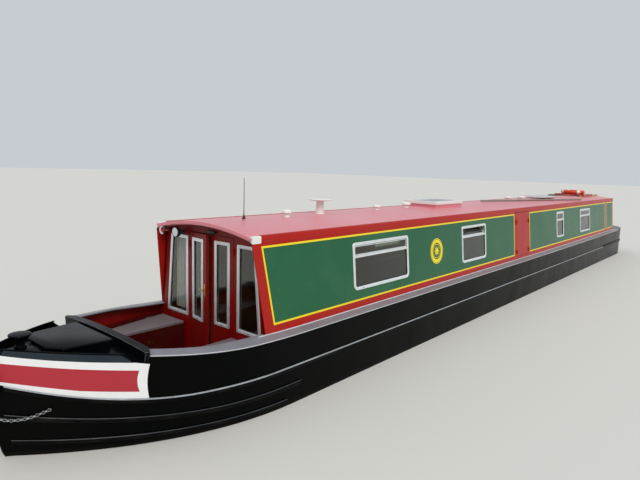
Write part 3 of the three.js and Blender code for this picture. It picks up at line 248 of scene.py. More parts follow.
def block(lo, hi):
    """A box between two corners."""
    corners = np.array([[x, y, z] for x in (lo[0], hi[0]) for y in (lo[1], hi[1]) for z in (lo[2], hi[2])])
    faces = np.array([[0, 1, 3, 2], [4, 6, 7, 5], [0, 4, 5, 1], [2, 3, 7, 6], [0, 2, 6, 4], [1, 5, 7, 3]])
    return corners, [faces]


def rounded(a0, a1, b0, b1, low, high, steps=6):
    """A rectangle whose lower corners have radius low and upper corners radius high."""
    corners = [(a1 - low, b0 + low, low, -90), (a1 - high, b1 - high, high, 0),
               (a0 + high, b1 - high, high, 90), (a0 + low, b0 + low, low, 180)]
    sweep = np.radians(np.linspace(0, 90, steps + 1))
    turns = [sweep + math.radians(first) for *_, first in corners]
    return np.vstack([np.stack([a + r * np.cos(t), b + r * np.sin(t)], -1)
                      for (a, b, r, _), t in zip(corners, turns)])


def drawn_in(corners, distance):
    """A convex outline moved inwards: each side shifted along its normal, new corners where sides meet."""
    p = np.asarray(corners, float)
    d = np.roll(p, -1, 0) - p
    n = np.stack([-d[:, 1], d[:, 0]], -1) / np.linalg.norm(d, axis=1)[:, None]
    c = (n * p).sum(1) + distance
    n0, c0 = np.roll(n, 1, 0), np.roll(c, 1)
    det = n0[:, 0] * n[:, 1] - n0[:, 1] * n[:, 0]
    return np.stack([(c0 * n[:, 1] - c * n0[:, 1]) / det, (n0[:, 0] * c - n[:, 0] * c0) / det], -1)


def mirrored(patch):
    """The patch on the other side of the boat, its faces turned back to point out."""
    points, faces = patch
    return points * (1, -1, 1), [f[:, ::-1] for f in faces]


def both(patch):
    """The patch and its mirror image."""
    return [patch, mirrored(patch)]


# Places on the boat

def on_side(side):
    """Flat outline (station, height) to the cabin side: y = side * (foot - tumblehome * rise + h)."""
    def place(a, b, h):
        y = FOOT_HALF - TUMBLEHOME * (b - FOOT_Z) + h
        return spots(a, side * y, b)
    return place


def on_front(base=0.0):
    """Flat outline (offset to port, height) to the front bulkhead."""
    def place(a, b, h):
        return spots(base + h, a, b)
    return place


def on_leaf(side, hinge_y, ajar):
    """Outline (offset from the hinge, height) to a front door's leaf, turned open by its angle."""
    turn = math.radians(side * ajar)

    def place(a, b, h):
        x = h - AXIS_OUT
        return spots(AXIS_OUT + x * math.cos(turn) - a * math.sin(turn),
                     hinge_y + x * math.sin(turn) + a * math.cos(turn), b)
    return place


# Making pieces

def piece(name, patches, finish, slot, body="hull", replaces=(), smooth=35, ease=0.0, steps=2):
    """One mesh object from patches, riding on a body. Its stations become X; ease rounds its edges."""
    points, faces, start = [], [], 0
    for p, groups in patches:
        points.append(np.asarray(p, float))
        faces += [row for f in groups for row in (np.asarray(f) + start).tolist()]
        start += len(p)
    points = np.vstack(points) + (BULKHEAD_X, 0, 0)
    mesh = bpy.data.meshes.new(name)
    mesh.from_pydata(points.tolist(), [], faces)
    return finished(name, mesh, finish, slot, body, replaces, smooth, ease, steps)


def finished(name, mesh, finish, slot, body, replaces, smooth, ease, steps, wear_and_highlight=None):
    """Cleans a mesh, shades it, gives it its finish and its body; the finish of its eased edges, when given,
    paints a highlight along them.
    """
    bm = bmesh.new()
    bm.from_mesh(mesh)
    bmesh.ops.remove_doubles(bm, verts=bm.verts, dist=1e-5)
    bmesh.ops.delete(bm, geom=[v for v in bm.verts if not v.link_faces], context="VERTS")
    bmesh.ops.recalc_face_normals(bm, faces=bm.faces)
    bm.to_mesh(mesh)
    bm.free()
    mesh.shade_smooth()
    mesh.set_sharp_from_angle(angle=math.radians(smooth))
    obj = bpy.data.objects.new(name, mesh)
    bpy.context.scene.collection.objects.link(obj)
    mesh.materials.append(finish)
    if ease:
        bevel = obj.modifiers.new("eased edges", "BEVEL")
        bevel.width, bevel.segments, bevel.limit_method = ease, steps, "ANGLE"
        bevel.angle_limit, bevel.harden_normals = math.radians(40), True
        # A pale finish on the eased edges is a painted highlight along them.
        if wear_and_highlight:
            mesh.materials.append(wear_and_highlight)
            bevel.material = 1
    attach(obj, body)
    if replaces:
        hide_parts(*replaces)
    return obj


def eased(node_name, finish, slot, body="hull", width=0.004, steps=2, wear_and_highlight=None):
    """A copy of a CAD node with its flat faces joined and its edges rounded, in the node's place."""
    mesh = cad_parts[node_name].data.copy()
    mesh.materials.clear()
    bm = bmesh.new()
    bm.from_mesh(mesh)
    bmesh.ops.remove_doubles(bm, verts=bm.verts, dist=1e-5)
    bmesh.ops.dissolve_limit(bm, angle_limit=math.radians(0.6), verts=bm.verts, edges=bm.edges)
    bm.to_mesh(mesh)
    bm.free()
    return finished(node_name + "_eased", mesh, finish, slot, body, (node_name,), 35, width, steps, wear_and_highlight)


# Materials

def colour(code):
    """sRGB hex to linear: c / 12.92 up to 0.04045, above it ((c + 0.055) / 1.055)^2.4."""
    c = np.array([int(code[i:i + 2], 16) / 255 for i in (0, 2, 4)])
    linear = np.where(c <= 0.04045, c / 12.92, ((c + 0.055) / 1.055) ** 2.4)
    return (*linear.tolist(), 1.0)


def node(tree, kind, inputs=None, **settings):
    """Adds a node: settings are its attributes, inputs its sockets' values or the outputs linked to them."""
    made = tree.nodes.new("ShaderNode" + kind)
    for key, value in settings.items():
        setattr(made, key, value)
    for key, value in (inputs or {}).items():
        if isinstance(value, bpy.types.NodeSocket):
            tree.links.new(value, made.inputs[key])
        else:
            made.inputs[key].default_value = value
    return made


def joined(tree, shader, **outputs):
    """Links outputs to the shader's sockets of those names."""
    for key, value in outputs.items():
        tree.links.new(value, shader.inputs[key.replace("_", " ")])


# A Mix node's colour sockets, by index
MIX_A, MIX_B, MIXED = 6, 7, 2


def start(name, **constants):
    """A new material with constants on its shader, its tree, its shader and the object's coordinates."""
    made = bpy.data.materials.new(name)
    made.use_nodes = True
    tree = made.node_tree
    shader = tree.nodes["Principled BSDF"]
    for key, value in constants.items():
        shader.inputs[key.replace("_", " ")].default_value = value
    return made, tree, shader, node(tree, "TexCoord").outputs["Object"]


def painted(name, code, soil="6E6458", soiled=0.25, rough=0.3, soil_rough=0.6, coat=0.05, ripple=0.0015,
            ripple_size=0.45, grain=0.00008, grain_size=0.003, patch_size=0.8, waterline=0.0, shine=0.14):
    """Brushed paint on steel plate. Wide soft ripples of the plate (noise of ripple_size metres) bend what
    it mirrors, a fine grain breaks the gloss, and thin soil lies in patches, dull where it lies;
    waterline is the height of a grime band over the water."""
    made, tree, shader, at = start(name, Roughness=rough, Coat_Weight=coat, Coat_Roughness=0.06, IOR=1.5,
                                   Specular_IOR_Level=shine)
    patches = node(tree, "TexNoise", {"Vector": at, "Scale": 1 / patch_size, "Detail": 7,
                                      "Roughness": 0.62}).outputs["Fac"]
    lying = node(tree, "MapRange", {"Value": patches, "From Min": 0.45, "From Max": 0.72,
                                    "To Max": soiled}).outputs["Result"]
    if waterline:
        height = node(tree, "SeparateXYZ", {"Vector": at}).outputs["Z"]
        band = node(tree, "MapRange", {"Value": height, "From Min": WATERLINE + waterline,
                                       "From Max": WATERLINE, "To Max": 0.85}).outputs["Result"]
        wet = node(tree, "Math", {0: band, 1: patches}, operation="MULTIPLY").outputs[0]
        lying = node(tree, "Math", {0: lying, 1: wet}, operation="MAXIMUM").outputs[0]
    tint = node(tree, "Mix", {0: lying, MIX_A: colour(code), MIX_B: colour(soil)}, data_type="RGBA")
    gloss = node(tree, "MapRange", {"Value": lying, "To Min": rough, "To Max": soil_rough})
    wide = node(tree, "TexNoise", {"Vector": at, "Scale": 1 / ripple_size, "Detail": 1})
    fine = node(tree, "TexNoise", {"Vector": at, "Scale": 1 / grain_size, "Detail": 2})
    bend = node(tree, "Bump", {"Height": wide.outputs["Fac"], "Distance": ripple * 20, "Strength": 0.5})
    bump = node(tree, "Bump", {"Height": fine.outputs["Fac"], "Distance": grain * 20,
                               "Strength": 0.4, "Normal": bend.outputs["Normal"]})
    joined(tree, shader, Base_Color=tint.outputs[MIXED], Roughness=gloss.outputs["Result"],
           Normal=bump.outputs["Normal"], Coat_Normal=bump.outputs["Normal"])
    return made


def metal(name, code, rough=0.25, tarnish="3A2C1A", tarnished=0.2, lines=0.0006, along="X"):
    """Bare or plated metal, rubbed along its length: fine lines of about a millimetre, drawn wider than real
    so that they show, and tarnish in patches of a noise."""
    made, tree, shader, at = start(name, Metallic=1.0)
    stretch = {"X": (1, 25, 25), "Z": (25, 25, 1)}[along]
    drawn = node(tree, "Mapping", {"Vector": at, "Scale": stretch}).outputs[0]
    lines_out = node(tree, "TexNoise", {"Vector": drawn, "Scale": 1 / (lines * 40), "Detail": 3})
    dull = node(tree, "TexNoise", {"Vector": at, "Scale": 9.0, "Detail": 5, "Roughness": 0.6})
    film = node(tree, "MapRange", {"Value": dull.outputs["Fac"], "From Min": 0.5, "From Max": 0.75,
                                   "To Max": tarnished}).outputs["Result"]
    tint = node(tree, "Mix", {0: film, MIX_A: colour(code), MIX_B: colour(tarnish)}, data_type="RGBA")
    gloss = node(tree, "MapRange", {"Value": lines_out.outputs["Fac"], "To Min": rough * 0.8,
                                    "To Max": rough * 1.4})
    joined(tree, shader, Base_Color=tint.outputs[MIXED], Roughness=gloss.outputs["Result"])
    return made


def moulded(name, code, rough=0.4, soil="8A8478", soiled=0.2, grain_size=0.0015):
    """Moulded plastic or rubber: even colour, a fine pebbled skin and dust in patches."""
    made, tree, shader, at = start(name, IOR=1.46)
    patches = node(tree, "TexNoise", {"Vector": at, "Scale": 7.0, "Detail": 5}).outputs["Fac"]
    lying = node(tree, "MapRange", {"Value": patches, "From Min": 0.45, "From Max": 0.75,
                                    "To Max": soiled}).outputs["Result"]
    tint = node(tree, "Mix", {0: lying, MIX_A: colour(code), MIX_B: colour(soil)}, data_type="RGBA")
    gloss = node(tree, "MapRange", {"Value": patches, "To Min": rough * 0.8, "To Max": rough * 1.25})
    skin = node(tree, "TexNoise", {"Vector": at, "Scale": 1 / grain_size, "Detail": 1})
    bump = node(tree, "Bump", {"Height": skin.outputs["Fac"], "Distance": 0.0006, "Strength": 0.3})
    joined(tree, shader, Base_Color=tint.outputs[MIXED], Roughness=gloss.outputs["Result"],
           Normal=bump.outputs["Normal"])
    return made


def wooden(name, code, dark, rough=0.55, plank=0.0, grain=0.012):
    """Sawn and oiled wood: grain lines of about 12 mm stretched along X, joints between planks."""
    made, tree, shader, at = start(name, IOR=1.5)
    drawn = node(tree, "Mapping", {"Vector": at, "Scale": (0.06, 1, 1)}).outputs[0]
    lines = node(tree, "TexNoise", {"Vector": drawn, "Scale": 1 / grain, "Detail": 6,
                                    "Distortion": 0.8}).outputs["Fac"]
    tint = node(tree, "Mix", {0: lines, MIX_A: colour(code), MIX_B: colour(dark)}, data_type="RGBA")
    gloss = node(tree, "MapRange", {"Value": lines, "To Min": rough * 0.85, "To Max": rough * 1.15})
    height = lines
    if plank:
        y = node(tree, "SeparateXYZ", {"Vector": at}).outputs["Y"]
        share = node(tree, "Math", {0: y, 1: plank}, operation="PINGPONG").outputs[0]
        joint = node(tree, "MapRange", {"Value": share, "From Max": 0.003}).outputs["Result"]
        height = node(tree, "Math", {0: lines, 1: joint}, operation="MULTIPLY").outputs[0]
    bump = node(tree, "Bump", {"Height": height, "Distance": 0.002, "Strength": 0.5})
    joined(tree, shader, Base_Color=tint.outputs[MIXED], Roughness=gloss.outputs["Result"],
           Normal=bump.outputs["Normal"])
    return made


def glazing(name, code, rough=0.02):
    """Toughened float glass, slightly grey, with the faint waviness of heat treatment."""
    made, tree, shader, at = start(name, Base_Color=colour(code), Roughness=rough, IOR=1.5,
                                   Transmission_Weight=1.0)
    wave = node(tree, "TexNoise", {"Vector": at, "Scale": 2.5, "Detail": 0})
    bump = node(tree, "Bump", {"Height": wave.outputs["Fac"], "Distance": 0.004, "Strength": 0.2})
    joined(tree, shader, Normal=bump.outputs["Normal"])
    return made


def lined_side(name, code, lining, shaded):
    """Coach enamel outside. Where a point lies more than 10 mm inside the leaning outer face, a lining board
    between the two bulkheads and, beyond them, a dark red that is painted shade."""
    made = painted(name, code, soiled=0.07, rough=0.25, coat=0.1, ripple=0.0012, ripple_size=0.6)
    tree = made.node_tree
    shader = tree.nodes["Principled BSDF"]
    at = node(tree, "TexCoord").outputs["Object"]
    axes = node(tree, "SeparateXYZ", {"Vector": at})
    out = node(tree, "Math", {0: axes.outputs["Y"]}, operation="ABSOLUTE").outputs[0]
    lean = node(tree, "Math", {0: axes.outputs["Z"], 1: TUMBLEHOME, 2: out}, operation="MULTIPLY_ADD")
    inside = node(tree, "Math", {0: lean.outputs[0], 1: FOOT_HALF + TUMBLEHOME * FOOT_Z - 0.01},
                  operation="LESS_THAN").outputs[0]
    cabin = BULKHEAD_X + CABIN_AFT / 2
    aft = node(tree, "Math", {0: axes.outputs["X"], 1: cabin, 2: -CABIN_AFT / 2 - 0.002},
               operation="COMPARE").outputs[0]
    board = node(tree, "Mix", {0: aft, MIX_A: colour(shaded), MIX_B: colour(lining)}, data_type="RGBA")
    enamel = shader.inputs["Base Color"].links[0].from_socket
    tint = node(tree, "Mix", {0: inside, MIX_A: enamel, MIX_B: board.outputs[MIXED]}, data_type="RGBA")
    joined(tree, shader, Base_Color=tint.outputs[MIXED])
    return made


def knotted(name, code, dark, strand=0.016):
    """Tarred rope: crossing strands of 16 mm as two diagonal waves, darker in the grooves between them as
    painted shade.
    """
    made, tree, shader, at = start(name, Roughness=0.9, Sheen_Weight=0.2)
    turned_one = node(tree, "Mapping", {"Vector": at, "Rotation": (0, 0.6, 0.8)}).outputs[0]
    turned_two = node(tree, "Mapping", {"Vector": at, "Rotation": (0.6, -0.6, -0.8)}).outputs[0]
    one = node(tree, "TexWave", {"Vector": turned_one, "Scale": 0.3 / strand, "Distortion": 1.0})
    two = node(tree, "TexWave", {"Vector": turned_two, "Scale": 0.3 / strand, "Distortion": 1.0})
    over = node(tree, "Math", {0: one.outputs["Fac"], 1: two.outputs["Fac"]}, operation="MAXIMUM")
    # The grooves between the strands are darker: painted shade.
    tint = node(tree, "Mix", {0: over.outputs[0], MIX_A: colour(dark), MIX_B: colour(code)}, data_type="RGBA")
    bump = node(tree, "Bump", {"Height": over.outputs[0], "Distance": 0.006, "Strength": 0.9})
    joined(tree, shader, Base_Color=tint.outputs[MIXED], Normal=bump.outputs["Normal"])
    return made


def woven(name, code, faded, thread):
    """Plain-woven cotton on the cloth's own UV map, in metres: warp and weft are two waves, the higher one
    gives the relief, and the cloth is faded in patches of a noise."""
    made, tree, shader, _ = start(name, Roughness=0.85, Sheen_Weight=0.3)
    flat = node(tree, "TexCoord").outputs["UV"]
    warp = node(tree, "TexWave", {"Vector": flat, "Scale": 0.314 / thread}, bands_direction="X")
    weft = node(tree, "TexWave", {"Vector": flat, "Scale": 0.314 / thread}, bands_direction="Y")
    crossed = node(tree, "Math", {0: warp.outputs["Fac"], 1: weft.outputs["Fac"]}, operation="MAXIMUM")
    wear_and_highlight = node(tree, "TexNoise", {"Vector": flat, "Scale": 14.0, "Detail": 4}).outputs["Fac"]
    tint = node(tree, "Mix", {0: wear_and_highlight, MIX_A: colour(code), MIX_B: colour(faded)}, data_type="RGBA")
    bump = node(tree, "Bump", {"Height": crossed.outputs[0], "Distance": 0.0004, "Strength": 0.5})
    joined(tree, shader, Base_Color=tint.outputs[MIXED], Normal=bump.outputs["Normal"])
    return made


def solar_cells(name, code, cell=0.156, busbar=0.039):
    """Silicon cells of 156 mm under glass: pale gaps of 3 mm between cells, thin bars of the same pale grey
    every 39 mm."""
    made, tree, shader, at = start(name, Roughness=0.12, Coat_Weight=1.0, Coat_Roughness=0.03)
    axes = node(tree, "SeparateXYZ", {"Vector": at})
    lines = []
    for axis, pitch, width in (("X", cell, 0.0015), ("Y", cell, 0.0015), ("Y", busbar, 0.0006)):
        share = node(tree, "Math", {0: axes.outputs[axis], 1: pitch / 2}, operation="PINGPONG").outputs[0]
        lines.append(node(tree, "Math", {0: share, 1: width}, operation="LESS_THAN").outputs[0])
    gap = node(tree, "Math", {0: lines[0], 1: lines[1]}, operation="MAXIMUM").outputs[0]
    silver = node(tree, "Math", {0: gap, 1: lines[2]}, operation="MAXIMUM").outputs[0]
    grain = node(tree, "TexVoronoi", {"Vector": at, "Scale": 60.0}).outputs["Color"]
    grey = node(tree, "SeparateColor", {"Color": grain}).outputs["Red"]
    crystal = node(tree, "Mix", {0: grey, MIX_A: colour(code), MIX_B: colour("22304A")}, data_type="RGBA")
    tint = node(tree, "Mix", {0: silver, MIX_A: crystal.outputs[MIXED], MIX_B: colour("9AA2AA")},
                data_type="RGBA")
    joined(tree, shader, Base_Color=tint.outputs[MIXED])
    return made


# Brushed gloss blacks of hull and deck: near mirrors, dulled by scuffs and a film of grime
HULL_BLACK = painted("gloss black hull enamel", "020403", soil="1E1C18", soiled=0.1, rough=0.22,
                     soil_rough=0.45, coat=0.0, ripple=0.002, ripple_size=0.7, waterline=0.06, shine=0.05)
# Bitumen rolled on below the water: matt, lumpy, browned with silt
BOTTOM = painted("bitumen below the water", "121110", soil="3E3220", soiled=0.6, rough=0.7, coat=0.0,
                 grain=0.0003, grain_size=0.006)
STRAKE_BLACK = painted("scuffed strake black", "040505", soil="3A3630", soiled=0.2, rough=0.3, coat=0.0,
                       patch_size=0.25, shine=0.07)
DECK_BLACK = painted("gloss black deck enamel", "050709", soil="23221E", soiled=0.1, rough=0.2, coat=0.0,
                     patch_size=0.3, shine=0.04)
# Pale lines on edges and strake tops: painted highlights where the edges would catch the light, patchy with
# soil
PALE_EDGE_HIGHLIGHT = painted("pale deck edge paint as a painted highlight", "C4C5CA", soil="7C766C", soiled=0.4, rough=0.4, patch_size=0.12)
EDGE_HIGHLIGHT = painted("pale edge paint as a painted highlight", "A2A8AD", soil="4A4C4E", soiled=0.5, rough=0.3, coat=0.2,
                    patch_size=0.1, shine=0.5)
STRAKE_TOP_HIGHLIGHT = painted("grey strake top as a painted highlight", "3E4347", soil="1A1B1C", soiled=0.6, rough=0.35, patch_size=0.2)
# Deck paints: rolled thick, with grit that breaks the shine, footprints' soil in patches
GUNWALE_GREY = painted("grey gunwale paint", "85868E", soil="5A564F", soiled=0.35, rough=0.35, coat=0.1,
                       patch_size=0.22, grain=0.0002, shine=0.3)
DECK_GREY = painted("grey non-slip deck paint", "85868C", soil="5C574E", soiled=0.4, rough=0.65, coat=0.0,
                    patch_size=0.3, grain=0.0006, grain_size=0.002)
# Coach enamels, brushed and levelled: even colour, a soft gloss that ripples with the plate
COACH_RED = painted("red coach enamel", "AE1A10", soiled=0.07, rough=0.25, coat=0.1, ripple=0.0012,
                    ripple_size=0.6)
# Inside the side's extensions past the bulkheads, 4E0605 is a dark red of painted shade.
SIDE_RED = lined_side("red coach enamel over a lined side", "AE1A10", "B59A74", "4E0605")
COACH_GREEN = painted("green coach enamel", "22603F", soil="5E8A70", soiled=0.14, rough=0.25, coat=0.12,
                      ripple=0.0014, ripple_size=0.7)
LINE_YELLOW = painted("yellow lining enamel", "F6DE2A", soiled=0.05, rough=0.3)
# The bulkhead's duller red, the roof's red lightened to pink as a painted reflection of the sky, and the
# bow's flash
WELL_RED = painted("dark red bulkhead paint", "7C0A07", soil="4A2A24", soiled=0.25, rough=0.33, coat=0.1,
                   patch_size=0.5)
ROOF_RED_SKY_SHEEN = painted("red roof paint with painted sky reflection", "DD828C", soil="E0B4B6", soiled=0.3, rough=0.36, coat=0.25,
                   patch_size=1.1, ripple=0.001, grain=0.0002, shine=0.4)
FLASH_WHITE = painted("white bow enamel", "F4F6F7", soiled=0.07, rough=0.25, coat=0.2)
FLASH_RED = painted("red bow enamel", "B8333F", soiled=0.06, rough=0.25, coat=0.2)
# The bow's guard, black with a painted sky reflection; the lockers' side, red darkened by painted shade;
# their scuffed lids
GUARD_SKY_SHEEN = painted("black guard with painted sky reflection", "26313A", soil="4A4842", soiled=0.2, rough=0.25, coat=0.1)
# The lockers' side: red darkened to maroon as painted shade.
LOCKER_RED_SHADED = painted("red locker paint with painted shade", "430907", soil="3A2A26", soiled=0.25, rough=0.33, coat=0.1,
                     patch_size=0.4)
LID_BOARD = painted("brown-grey locker lid paint", "6E6468", soil="8A8178", soiled=0.3, rough=0.42, coat=0.1,
                    patch_size=0.2)
# Metals: satin anodised window bars, polished and cast copper alloys, chrome plate, zinc-dipped chain
ALLOY = metal("anodised window alloy", "F2F5F4", rough=0.5, tarnish="C4CAC6", tarnished=0.3, along="Z")
BRASS = metal("polished brass", "D2A648", rough=0.3, tarnish="6B4A1E", tarnished=0.35)
BRONZE = metal("cast bronze", "9C7440", rough=0.4, tarnish="3E5A48", tarnished=0.5)
CHROME = metal("chromed brass", "E4E6E8", rough=0.08, tarnish="9A9A9A", tarnished=0.15)
GALVANISED = metal("galvanised chain steel", "A9ADB0", rough=0.45, tarnish="6E5A46", tarnished=0.5)
# Engine enamel, sprayed over rough castings: dull with oil and dust
IRON = painted("engine enamel on cast iron", "35505A", soiled=0.4, rough=0.45, coat=0.2, patch_size=0.2)
# Moulded plastics and rubber: even colour, fine skin, dust
SMOKED = moulded("smoked acrylic", "171C1E", rough=0.1, soiled=0.1)
WHITE = moulded("white gelcoat", "E9EAE6", rough=0.3, soiled=0.1)
BLACK = moulded("black moulded rubber", "0C0C0E", rough=0.5, soiled=0.25)
ORANGE = moulded("orange ring buoy skin", "D8401A", rough=0.45, soil="B98A6A")
# Sawn boards, a faced lining board and a pole that the weather has greyed
FLOOR_BOARD = wooden("painted floor boards", "7A5A48", "4C352A", rough=0.6, plank=0.09)
OAK = wooden("oak-faced lining board", "B08A5C", "8A6238", rough=0.45)
POLE = wooden("weathered ash pole", "9B978D", "6E6A60", rough=0.6)
# Float glass, clear in front and tinted at the sides: sharp reflections, slightly wavy
GLASS = glazing("toughened window glass", "E6ECE8")
TINTED = glazing("grey-green tinted window glass", "B2BCAE")
# The lamp's lens, the lined curtain, the panel's cells and the fender's tarred rope
LENS = moulded("ribbed clear lens", "D2D7DA", rough=0.1, soiled=0.05)
CURTAIN = woven("white lined curtain cotton", "EFEDE6", faded="D9D5C8", thread=0.0008)
CELLS = solar_cells("laminated solar cells", "141C2B")
ROPE = knotted("tarred fender rope", "3A322A", "120F0C")


# Camera, light and floor

CAMERA_AT = (3.5389, 4.6127, WATERLINE + 2.4632)
CAMERA_YAW, CAMERA_PITCH, CAMERA_ROLL = (math.radians(a) for a in (-139.551, -7.857, 1.708))
FOCAL_PIXELS, IMAGE_WIDTH, SENSOR = 525.59, 640, 36.0


def camera():
    """The photograph's camera: yaw about Z from +X, then pitch, then roll about the view axis."""
    ahead = np.array([math.cos(CAMERA_YAW) * math.cos(CAMERA_PITCH),
                      math.sin(CAMERA_YAW) * math.cos(CAMERA_PITCH), math.sin(CAMERA_PITCH)])
    right = np.array([math.sin(CAMERA_YAW), -math.cos(CAMERA_YAW), 0])
    up = np.cross(right, ahead)
    right, up = (math.cos(CAMERA_ROLL) * right + math.sin(CAMERA_ROLL) * up,
                 math.cos(CAMERA_ROLL) * up - math.sin(CAMERA_ROLL) * right)
    data = bpy.data.cameras.new("photo camera")
    data.sensor_width, data.lens = SENSOR, FOCAL_PIXELS / IMAGE_WIDTH * SENSOR
    data.clip_start, data.clip_end = 0.1, 400
    obj = bpy.data.objects.new("photo camera", data)
    turn = Matrix(np.stack([right, up, -ahead], 1).tolist()).to_4x4()
    obj.matrix_world = Matrix.Translation((CAMERA_AT[0] + BULKHEAD_X, CAMERA_AT[1], CAMERA_AT[2])) @ turn
    bpy.context.scene.collection.objects.link(obj)
    bpy.context.scene.camera = obj


def light(name, toward, strength, softness, tint="FFFFFF"):
    """A distant soft light that shines along a direction; softness is its width in degrees."""
    data = bpy.data.lights.new(name, "SUN")
    data.energy, data.angle, data.color = strength, math.radians(softness), colour(tint)[:3]
    obj = bpy.data.objects.new(name, data)
    obj.rotation_euler = Vector(toward).to_track_quat("-Z", "Y").to_euler()
    bpy.context.scene.collection.objects.link(obj)


def studio():
    """A pale floor at the waterline, an even pale sky and two wide soft lights."""
    mesh = bpy.data.meshes.new("floor")
    reach = 150.0
    mesh.from_pydata([(-reach, -reach, WATERLINE), (reach, -reach, WATERLINE), (reach, reach, WATERLINE),
                      (-reach, reach, WATERLINE)], [], [(0, 1, 2, 3)])
    floor = bpy.data.objects.new("floor", mesh)
    bpy.context.scene.collection.objects.link(floor)
    mesh.materials.append(start("pale floor", Base_Color=colour("D6D5D0"), Roughness=0.9)[0])
    world = bpy.data.worlds.new("pale sky")
    bpy.context.scene.world = world
    world.use_nodes = True
    sky = world.node_tree.nodes["Background"].inputs
    sky["Color"].default_value, sky["Strength"].default_value = colour("E6ECF2"), 0.72
    light("key", (-0.45, -0.62, -0.78), 1.5, 25, "FFF6EA")
    light("fill", (0.5, -0.5, -0.6), 0.4, 60, "EAF2FF")
    bpy.context.scene.view_settings.view_transform = "Standard"


camera()
studio()

# Hull

# The plating stands SKIN proud of the solids and reaches SUNK into them; the stern's row goes further out.
SKIN, SUNK, STERN_CLEAR = 0.003, 0.001, 0.0015
# Upper edge of the plating as (station, height over the sheer): under the side decks, down to the beam's
# foot, along the sunken foredeck, then up to the bulwark's lip.
PLATING_TOP = np.array([(-17, -0.0335), (1.2113, -0.0335), (1.2115, -0.0843), (1.2404, -0.0873),
                        (1.315, -0.088), (1.405, -0.02), (3, -0.02)])


def plating_top(x):
    """Height of the plating's upper edge: sheer + the height in PLATING_TOP at the station."""
    return sheer(x) + np.interp(x, *PLATING_TOP.T)


def bow_stations(first, count):
    """Stations from a point to the stem, denser towards it, with those where the upper edge bends."""
    x = first + (STEM_HEAD - first) * np.linspace(0, 1, count) ** 0.75
    return np.unique(np.concatenate([x, PLATING_TOP[1:-1, 0]]))


def counter_line(angle):
    """The counter's plan, a superellipse: x = start + length * sin^(2/p), share of breadth = cos^(2/p)."""
    return (COUNTER_START + (STERN_END - COUNTER_START) * np.sin(angle) ** (2 / COUNTER_POWER),
            np.cos(angle) ** (2 / COUNTER_POWER))


def counter_run(v, count):
    """Rows round the counter at shares v of its height, from the middle of the stern to its start."""
    x, share = counter_line(np.linspace(math.pi / 2, 0, count)[:, None])
    z = UXTER_Z + (plating_top(x) - UXTER_Z) * v
    return spots(x, level_values(x, z)[..., 0] * share, z)


def hull_rows(x, v, low, high):
    """Rows of the hull's side at stations between two heights; past the stem they end on it."""
    x = np.repeat(np.asarray(x, float)[:, None], len(v), 1)
    z = low(x) + (high(x) - low(x)) * v
    x = np.minimum(x, level_values(x, z)[..., 2])
    return spots(x, breadth(x, z), z)


def grown(grid, distance):
    """The grid moved outward along its own normals, the cross product of its two directions."""
    normal = np.cross(np.gradient(grid, axis=0), np.gradient(grid, axis=1))
    size = np.linalg.norm(normal, axis=-1)
    normal = np.where((size > 1e-9)[..., None], normal / np.maximum(size, 1e-9)[..., None], (1.0, 0, 0))
    outward = np.sign(normal[len(grid) // 2, 0, 1]) or 1.0
    return grid + np.where((size > 1e-9)[..., None], normal * distance * outward, (distance, 0, 0))


def hull_skin():
    """The plating over the hull's sides, 3 mm proud: counter, straight run and bow of one side in one grid,
    joined to its mirror image at the middle of the stern."""
    v = np.linspace(0, 1, 13)
    stations = np.concatenate([np.linspace(COUNTER_START, -1.0, 24)[1:], bow_stations(-0.9, 60)])
    run = hull_rows(stations, v, lambda x: UXTER_Z + 0 * x, plating_top)
    half = np.concatenate([counter_run(v, COUNTER_ROWS), run])
    half[0, :, 1] = 0
    faces = []
    for distance, clear in ((SKIN, STERN_CLEAR), (-SUNK, 0)):
        side = grown(half, distance)
        side[:COUNTER_ROWS, :, 0] -= clear * np.linspace(1, 0, COUNTER_ROWS)[:, None]
        side[0, :, 1] = 0
        faces.append(np.concatenate([(side * (1, -1, 1))[:0:-1], side]))
    return [slab(*faces)]


# The swim under the counter: where it starts, its length, its power, half the stern post's thickness.
SWIM_START, SWIM_LENGTH, SWIM_POWER, STERN_POST = -13.1, 2.65, 2.1, 0.024


def lower_skin():
    """Below the uxter plate, on the lowest two waterlines: the swim, half breadth * (1 - t^power) at shares t
    of its length, and the bow, half breadth * (1 - b^power) at shares b of the bow's length."""
    t = np.linspace(1, 0, 20)
    rows = []
    for _, half, first, stem, power in LEVELS[:2]:
        swim = np.stack([SWIM_START - SWIM_LENGTH * t,
                         np.maximum(STERN_POST, half * (1 - t**SWIM_POWER))], -1)
        b = np.linspace(0, 1, 30) ** 0.8
        bow = np.stack([first + (stem - first) * b, np.maximum(STEM_HALF, half * (1 - b**power))], -1)
        rows.append(np.vstack([swim, bow]))
    share = np.linspace(0, 1, 5)[:, None]
    flat = rows[0][:, None] * (1 - share) + rows[1][:, None] * share
    height = np.broadcast_to(LEVELS[0, 0] + (UXTER_Z - LEVELS[0, 0]) * share, (*flat.shape[:2], 1))
    grid = np.concatenate([flat, height], -1)
    return both(slab(grown(grid, SKIN), grown(grid, -SUNK)))


# Rubbing strakes: aft end, fore end, bar height, upper edge over the water, its rise forward of a station.
STRAKES = [(-13.38, 2.11, 0.045, 0.424, 0.119, 0.75), (-0.4, 2.11, 0.045, 0.235, 0.0475, 0.3),
           (-0.2, 2.07, 0.04, 0.085, 0.017, 0.0)]
STRAKE_DEPTH = 0.022


def strake_top(row, x):
    """Upper edge of a strake: its height plus rise * (x - start)^2 forward of the start."""
    return above(row[3]) + row[4] * np.maximum(0, x - row[5]) ** 2


